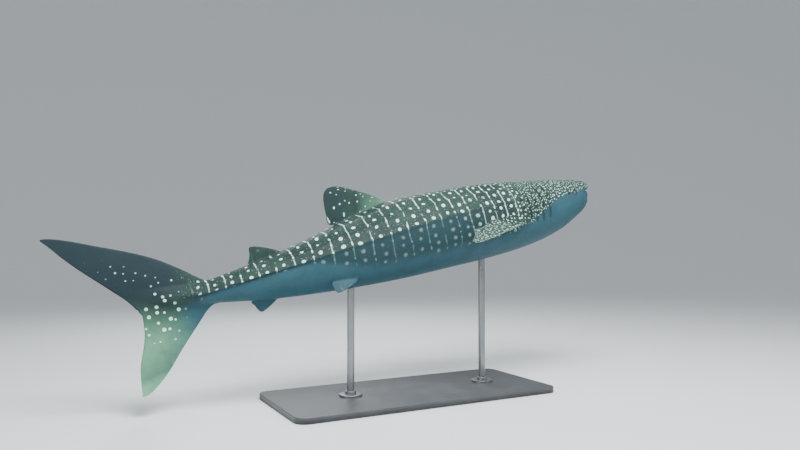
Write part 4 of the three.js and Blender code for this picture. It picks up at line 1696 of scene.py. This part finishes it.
@dataclass
class Eye:
    """One eye: a ball with a raised cornea, and the folds of skin round it."""

    form: SharkForm
    hand: Hand
    s: float = 0.066
    z: float = 0.0005
    radius: float = 0.027
    sink: float = 0.013
    yaw: float = 0.16
    cornea: float = 0.0022
    rim: float = 0.0285
    fold: float = 0.0082
    oval: Triple = (1.14, 1.0, 0.96)
    brow: float = 0.0022

    @property
    def turn(self) -> Triple:
        """The rotation that points an upright piece outwards and a little forwards."""
        return (-self.hand.value * math.pi / 2, 0.0, -self.hand.value * self.yaw)

    @property
    def centre(self) -> Vector:
        """The middle of the ball.

        Returns:
            The point in metres, a little way in from the skin.
        """
        form, s, z = self.form, self.s, self.z
        level, power = float(form.part(Line.LEVEL, s)), float(form.power(s))
        reach = abs(float(form.part(Line.TOP if z > level else Line.BOTTOM, s)) - level)
        across = (1 - abs((z - level) / reach) ** power) ** (1 / power)
        back = s + float(form.setback(s, across))
        left = self.hand.value * (float(form.part(Line.HALF, s)) * across - self.sink / form.length)
        return Vector(form.place(np.array(back), np.array(left), np.array(z)).tolist())

    def ball(self, material: bpy.types.Material) -> bpy.types.Object:
        """Models the ball with its cornea.

        Args:
            material: the eye's gloss.

        Returns:
            The finished ball.
        """
        bpy.ops.object.select_all(action="DESELECT")
        bpy.ops.mesh.primitive_uv_sphere_add(
            segments=48, ring_count=32, radius=self.radius, location=self.centre, rotation=self.turn)
        eye = bpy.context.object
        bpy.ops.object.mode_set(mode="EDIT")
        select(eye.data, Pick.FACE, [f.center.z > self.radius * 0.80 for f in eye.data.polygons])
        bpy.ops.transform.translate(value=(0, self.hand.value * self.cornea, 0), use_proportional_edit=True,
                                    proportional_edit_falloff="SMOOTH", proportional_size=0.014)
        bpy.ops.object.mode_set(mode="OBJECT")
        bpy.ops.object.shade_smooth()
        ring = eye.data.attributes.new("ring", "FLOAT", "POINT")
        ring.data.foreach_set("value", [math.hypot(v.co.x, v.co.y) / self.radius for v in eye.data.vertices])
        settle(eye, material, f"eye_ball_{self.hand.name.lower()}")
        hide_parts(f"eye_{self.hand.name.lower()}")
        return eye

    def lids(self, material: bpy.types.Material) -> bpy.types.Object:
        """Models the folds of skin round the eye.

        Args:
            material: the skin's paint.

        Returns:
            The finished folds.
        """
        bpy.ops.object.select_all(action="DESELECT")
        at = self.centre + Vector((0, self.hand.value * self.sink * 0.62, 0))
        bpy.ops.mesh.primitive_torus_add(
            major_radius=self.rim, minor_radius=self.fold, major_segments=64, minor_segments=20,
            location=at, rotation=self.turn)
        rim = bpy.context.object
        bpy.ops.object.mode_set(mode="EDIT")
        bpy.ops.mesh.select_all(action="SELECT")
        bpy.ops.transform.resize(value=self.oval, center_override=at)
        select(rim.data, Pick.FACE, [f.center.z > 0.0035 for f in rim.data.polygons])
        bpy.ops.mesh.inset(thickness=0.0012, depth=-0.0006)
        bpy.ops.object.mode_set(mode="OBJECT")
        for v in rim.data.vertices:
            v.co.z += self.brow * max(0.0, -self.hand.value * v.co.y / 0.03)
        bpy.ops.object.shade_smooth()
        plain_marks(rim, tone=-0.55)
        return settle(rim, material, f"eye_lids_{self.hand.name.lower()}")


@dataclass
class Barbel:
    """The small barbel that hangs below a nostril."""

    form: SharkForm
    hand: Hand
    length: float = 0.044
    radius: float = 0.0085
    tip: float = 0.0022
    sweep: float = 0.012
    place: Triple = (0.0014, 0.0275, 0.0012)

    def build(self, material: bpy.types.Material) -> bpy.types.Object:
        """Models the barbel.

        Args:
            material: the skin's paint.

        Returns:
            The finished barbel.
        """
        back, left, up = self.place
        at = self.form.place(np.array(back), np.array(self.hand.value * left), np.array(up))
        bpy.ops.object.select_all(action="DESELECT")
        bpy.ops.mesh.primitive_cone_add(
            vertices=20, radius1=self.radius, radius2=self.tip, depth=self.length, location=at,
            rotation=(math.pi, -self.form.nose_up, 0))
        barbel = bpy.context.object
        bpy.ops.object.mode_set(mode="EDIT")
        select(barbel.data, Pick.EDGE, [
            abs(barbel.data.vertices[e.vertices[0]].co.z - barbel.data.vertices[e.vertices[1]].co.z) > 0.01
            for e in barbel.data.edges])
        bpy.ops.mesh.subdivide(number_cuts=9)
        bpy.ops.mesh.select_all(action="DESELECT")
        bpy.ops.object.mode_set(mode="OBJECT")
        for v in barbel.data.vertices:
            share = 0.5 + v.co.z / self.length
            v.co.x -= self.sweep * share ** 2
            v.co.y *= 1.0 + 0.25 * math.sin(math.pi * share)
        tip = [f.center.z > self.length * 0.49 for f in barbel.data.polygons]
        bpy.ops.object.mode_set(mode="EDIT")
        select(barbel.data, Pick.FACE, tip)
        bpy.ops.mesh.bevel(offset=0.0012, segments=3, affect="EDGES")
        bpy.ops.object.mode_set(mode="OBJECT")
        bpy.ops.object.shade_smooth_by_angle(angle=math.radians(60))
        plain_marks(barbel, tone=-0.2)
        return settle(barbel, material, f"barbel_{self.hand.name.lower()}")


@dataclass
class Base:
    """The flat base of the stand."""

    size: Triple = (3.0, 1.3, 0.06)
    corner: float = 0.12
    edge: float = 0.006

    def build(self, material: bpy.types.Material) -> bpy.types.Object:
        """Models the base.

        Args:
            material: its paint.

        Returns:
            The finished base.
        """
        bpy.ops.object.select_all(action="DESELECT")
        bpy.ops.mesh.primitive_cube_add(size=1, location=(0, 0, self.size[2] / 2), scale=self.size)
        base = bpy.context.object
        bpy.ops.object.transform_apply(location=False, rotation=False, scale=True)
        bpy.ops.object.mode_set(mode="EDIT")
        ends = [[base.data.vertices[k].co for k in e.vertices] for e in base.data.edges]
        select(base.data, Pick.EDGE, [abs(a.z - b.z) > 0.01 for a, b in ends])
        bpy.ops.mesh.bevel(offset=self.corner, segments=12)
        bpy.ops.object.mode_set(mode="OBJECT")
        tops = [f.normal.z > 0.9 for f in base.data.polygons]
        rims = {tuple(sorted(k)) for f, top in zip(base.data.polygons, tops) if top for k in f.edge_keys}
        chosen = [tuple(sorted(e.vertices)) in rims for e in base.data.edges]
        bpy.ops.object.mode_set(mode="EDIT")
        select(base.data, Pick.EDGE, chosen)
        bpy.ops.mesh.bevel(offset=self.edge, segments=4)
        bpy.ops.object.mode_set(mode="OBJECT")
        bpy.ops.object.shade_smooth()
        even = base.modifiers.new("even", "WEIGHTED_NORMAL")
        even.weight = 100
        bpy.ops.object.modifier_apply(modifier=even.name)
        settle(base, material, "stand_base_slab")
        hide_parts("stand_base")
        return base


@dataclass
class Rod:
    """One rod of the stand with its flange, cut to the belly."""

    name: str
    s: float
    form: SharkForm
    radius: float = 0.038
    flange: tuple[float, float] = (0.120, 0.024)
    collar: tuple[float, float] = (0.020, 0.030)
    foot: float = 0.0603
    gap: float = 0.0003

    def build(self, material: bpy.types.Material, skin: bpy.types.Object) -> bpy.types.Object:
        """Models the rod.

        Args:
            material: its metal.
            skin: the skin that its top meets.

        Returns:
            The finished rod.
        """
        at = self.form.place(np.array(self.s), np.array(0.0), self.form.part(Line.BOTTOM, self.s))
        wide, high = self.flange
        neck, collar = self.collar
        bpy.ops.object.select_all(action="DESELECT")
        bpy.ops.mesh.primitive_cylinder_add(vertices=72, radius=wide, depth=high,
                                            location=(at[0], at[1], self.foot + high / 2))
        rod = bpy.context.object
        bpy.ops.object.mode_set(mode="EDIT")
        select(rod.data, Pick.FACE, [f.normal.z > 0.9 for f in rod.data.polygons])
        bpy.ops.mesh.inset(thickness=wide - self.radius - neck)
        bpy.ops.mesh.extrude_region_move(TRANSFORM_OT_translate={"value": (0, 0, collar)})
        bpy.ops.mesh.inset(thickness=neck)
        for lift in (0.20, 0.30, 0.40):
            bpy.ops.mesh.extrude_region_move(TRANSFORM_OT_translate={"value": (0, 0, lift)})
        bpy.ops.object.mode_set(mode="OBJECT")
        sharp = {(wide, high / 2), (self.radius + neck, high / 2 + collar)}
        picked = []
        for e in rod.data.edges:
            a, b = (rod.data.vertices[k].co for k in e.vertices)
            ring = abs(a.z - b.z) < 1e-5 and abs(math.hypot(a.x, a.y) - math.hypot(b.x, b.y)) < 1e-4
            picked.append(ring and any(abs(math.hypot(a.x, a.y) - r) < 1e-3 and abs(a.z - h) < 1e-4
                                       for r, h in sharp))
        bpy.ops.object.mode_set(mode="EDIT")
        select(rod.data, Pick.EDGE, picked)
        bpy.ops.mesh.bevel(offset=0.004, segments=4)
        bpy.ops.object.mode_set(mode="OBJECT")
        top = max(v.co.z for v in rod.data.vertices)
        centre = rod.matrix_world.translation
        for v in rod.data.vertices:
            if v.co.z > top - 1e-4:
                foot = Vector((centre.x + v.co.x, centre.y + v.co.y, self.foot + 0.1))
                hit, spot, _, _ = skin.ray_cast(foot, Vector((0, 0, 1)))
                if hit:
                    v.co.z = spot.z - self.gap - centre.z
        bpy.ops.object.shade_smooth_by_angle(angle=math.radians(30))
        settle(rod, material, self.name)
        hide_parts(self.name.replace("_pole", ""))
        return rod


@dataclass
class Studio:
    """The pale floor that rises far off on every side, the soft lights and the camera."""

    flat: float = 16.0
    rise: float = 16.0
    flat_rings: int = 6
    rise_rings: int = 21
    floor_sides: int = 96
    camera_place: Triple = (-3.601, -6.611, 1.6585)
    camera_yaw: float = 27.76
    camera_tilt: float = 1.35
    lens: float = 31.177

    def floor(self, material: bpy.types.Material) -> None:
        """Makes the floor.

        Args:
            material: the floor's material.
        """
        edit = bmesh.new()
        rings = []
        for k in range(self.flat_rings + self.rise_rings + 1):
            t = max(0.0, (k - self.flat_rings) / self.rise_rings)
            turn = t * math.pi / 2
            radius = self.flat * min(k, self.flat_rings) / self.flat_rings + self.rise * math.sin(turn)
            radius = max(radius, 0.01)
            height = self.rise * (1 - math.cos(turn))
            rings.append([edit.verts.new((radius * math.cos(a), radius * math.sin(a), height))
                          for a in np.linspace(0, 2 * math.pi, self.floor_sides + 1)[:-1]])
        for inner, outer in zip(rings, rings[1:]):
            for k in range(self.floor_sides):
                m = (k + 1) % self.floor_sides
                edit.faces.new((inner[k], outer[k], outer[m], inner[m]))
        edit.faces.new(rings[0])
        bmesh.ops.recalc_face_normals(edit, faces=edit.faces)
        mesh = bpy.data.meshes.new("floor")
        edit.to_mesh(mesh)
        edit.free()
        mesh.shade_smooth()
        mesh.materials.append(material)
        floor = bpy.data.objects.new("floor", mesh)
        bpy.context.scene.collection.objects.link(floor)

    def light(self, name: str, place: Triple, target: Triple,
              size: float, watts: float, colour: Triple = (1.0, 1.0, 1.0)) -> None:
        """Adds one soft light.

        Args:
            name: the light's name.
            place: where it hangs.
            target: what it points at.
            size: the side of its panel.
            watts: its power.
            colour: its colour.
        """
        data = bpy.data.lights.new(name, "AREA")
        data.size, data.energy, data.color = size, watts, colour
        lamp = bpy.data.objects.new(name, data)
        lamp.location = place
        lamp.rotation_euler = (Vector(target) - Vector(place)).to_track_quat("-Z", "Y").to_euler()
        bpy.context.scene.collection.objects.link(lamp)

    def build(self, material: bpy.types.Material) -> None:
        """Makes the floor, the lights, the surroundings and the camera.

        Args:
            material: the floor's material.
        """
        self.floor(material)
        self.light("key", (-1.0, -4.5, 8.0), (0, 0, 1.6), 4.0, 1450)
        self.light("front", (7.0, -6.5, 5.0), (1.0, 0, 1.9), 4.0, 300)
        self.light("fill", (-9.0, -4.0, 4.0), (-1, 0, 1.4), 4.0, 260)
        self.light("rim", (1.0, 7.0, 6.5), (0, 0, 1.8), 4.0, 420, (0.93, 0.98, 1.0))
        world = bpy.data.worlds.new("studio")
        bpy.context.scene.world = world
        world.use_nodes = True
        sky = world.node_tree.nodes["Background"]
        sky.inputs["Color"].default_value = (0.90, 0.95, 1.0, 1.0)
        sky.inputs["Strength"].default_value = 0.50
        data = bpy.data.cameras.new("camera")
        data.lens, data.sensor_width = self.lens, 36.0
        data.clip_start, data.clip_end = 0.1, 200.0
        camera = bpy.data.objects.new("camera", data)
        camera.location = self.camera_place
        yaw, tilt = math.radians(self.camera_yaw), math.radians(self.camera_tilt)
        aim = Vector((math.sin(yaw) * math.cos(tilt), math.cos(yaw) * math.cos(tilt), math.sin(tilt)))
        camera.rotation_euler = aim.to_track_quat("-Z", "Y").to_euler()
        bpy.context.scene.collection.objects.link(camera)
        bpy.context.scene.camera = camera


def main() -> None:
    """Builds the shark, its stand and the studio, one after another."""
    logging.basicConfig(level=logging.INFO, format="%(name)s: %(message)s")
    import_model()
    form = SharkForm()
    paint = SkinFinish().make()
    gloss = EyeFinish().make()
    skin = Skin(form).build(paint)
    LOG.info("skin done")
    for hand in Hand:
        eye = Eye(form, hand)
        eye.ball(gloss)
        eye.lids(paint)
        Barbel(form, hand).build(paint)
        LOG.info("eye, lids and barbel done: %s", hand.name.lower())
    Base().build(PaintFinish("base_paint", (0.045, 0.050, 0.055), (0.085, 0.092, 0.098)).make())
    metal = PaintFinish("rod_steel", (0.30, 0.31, 0.32), (0.20, 0.21, 0.22), metal=1.0, rough=(0.26, 0.42),
                        brushed=True).make()
    for name, s in (("stand_rod_front_pole", 0.27), ("stand_rod_rear_pole", 0.545)):
        Rod(name, s, form).build(metal, skin)
        LOG.info("rod done: %s", name)
    Studio().build(StudioFinish().make())


if __name__ == "__main__":
    main()
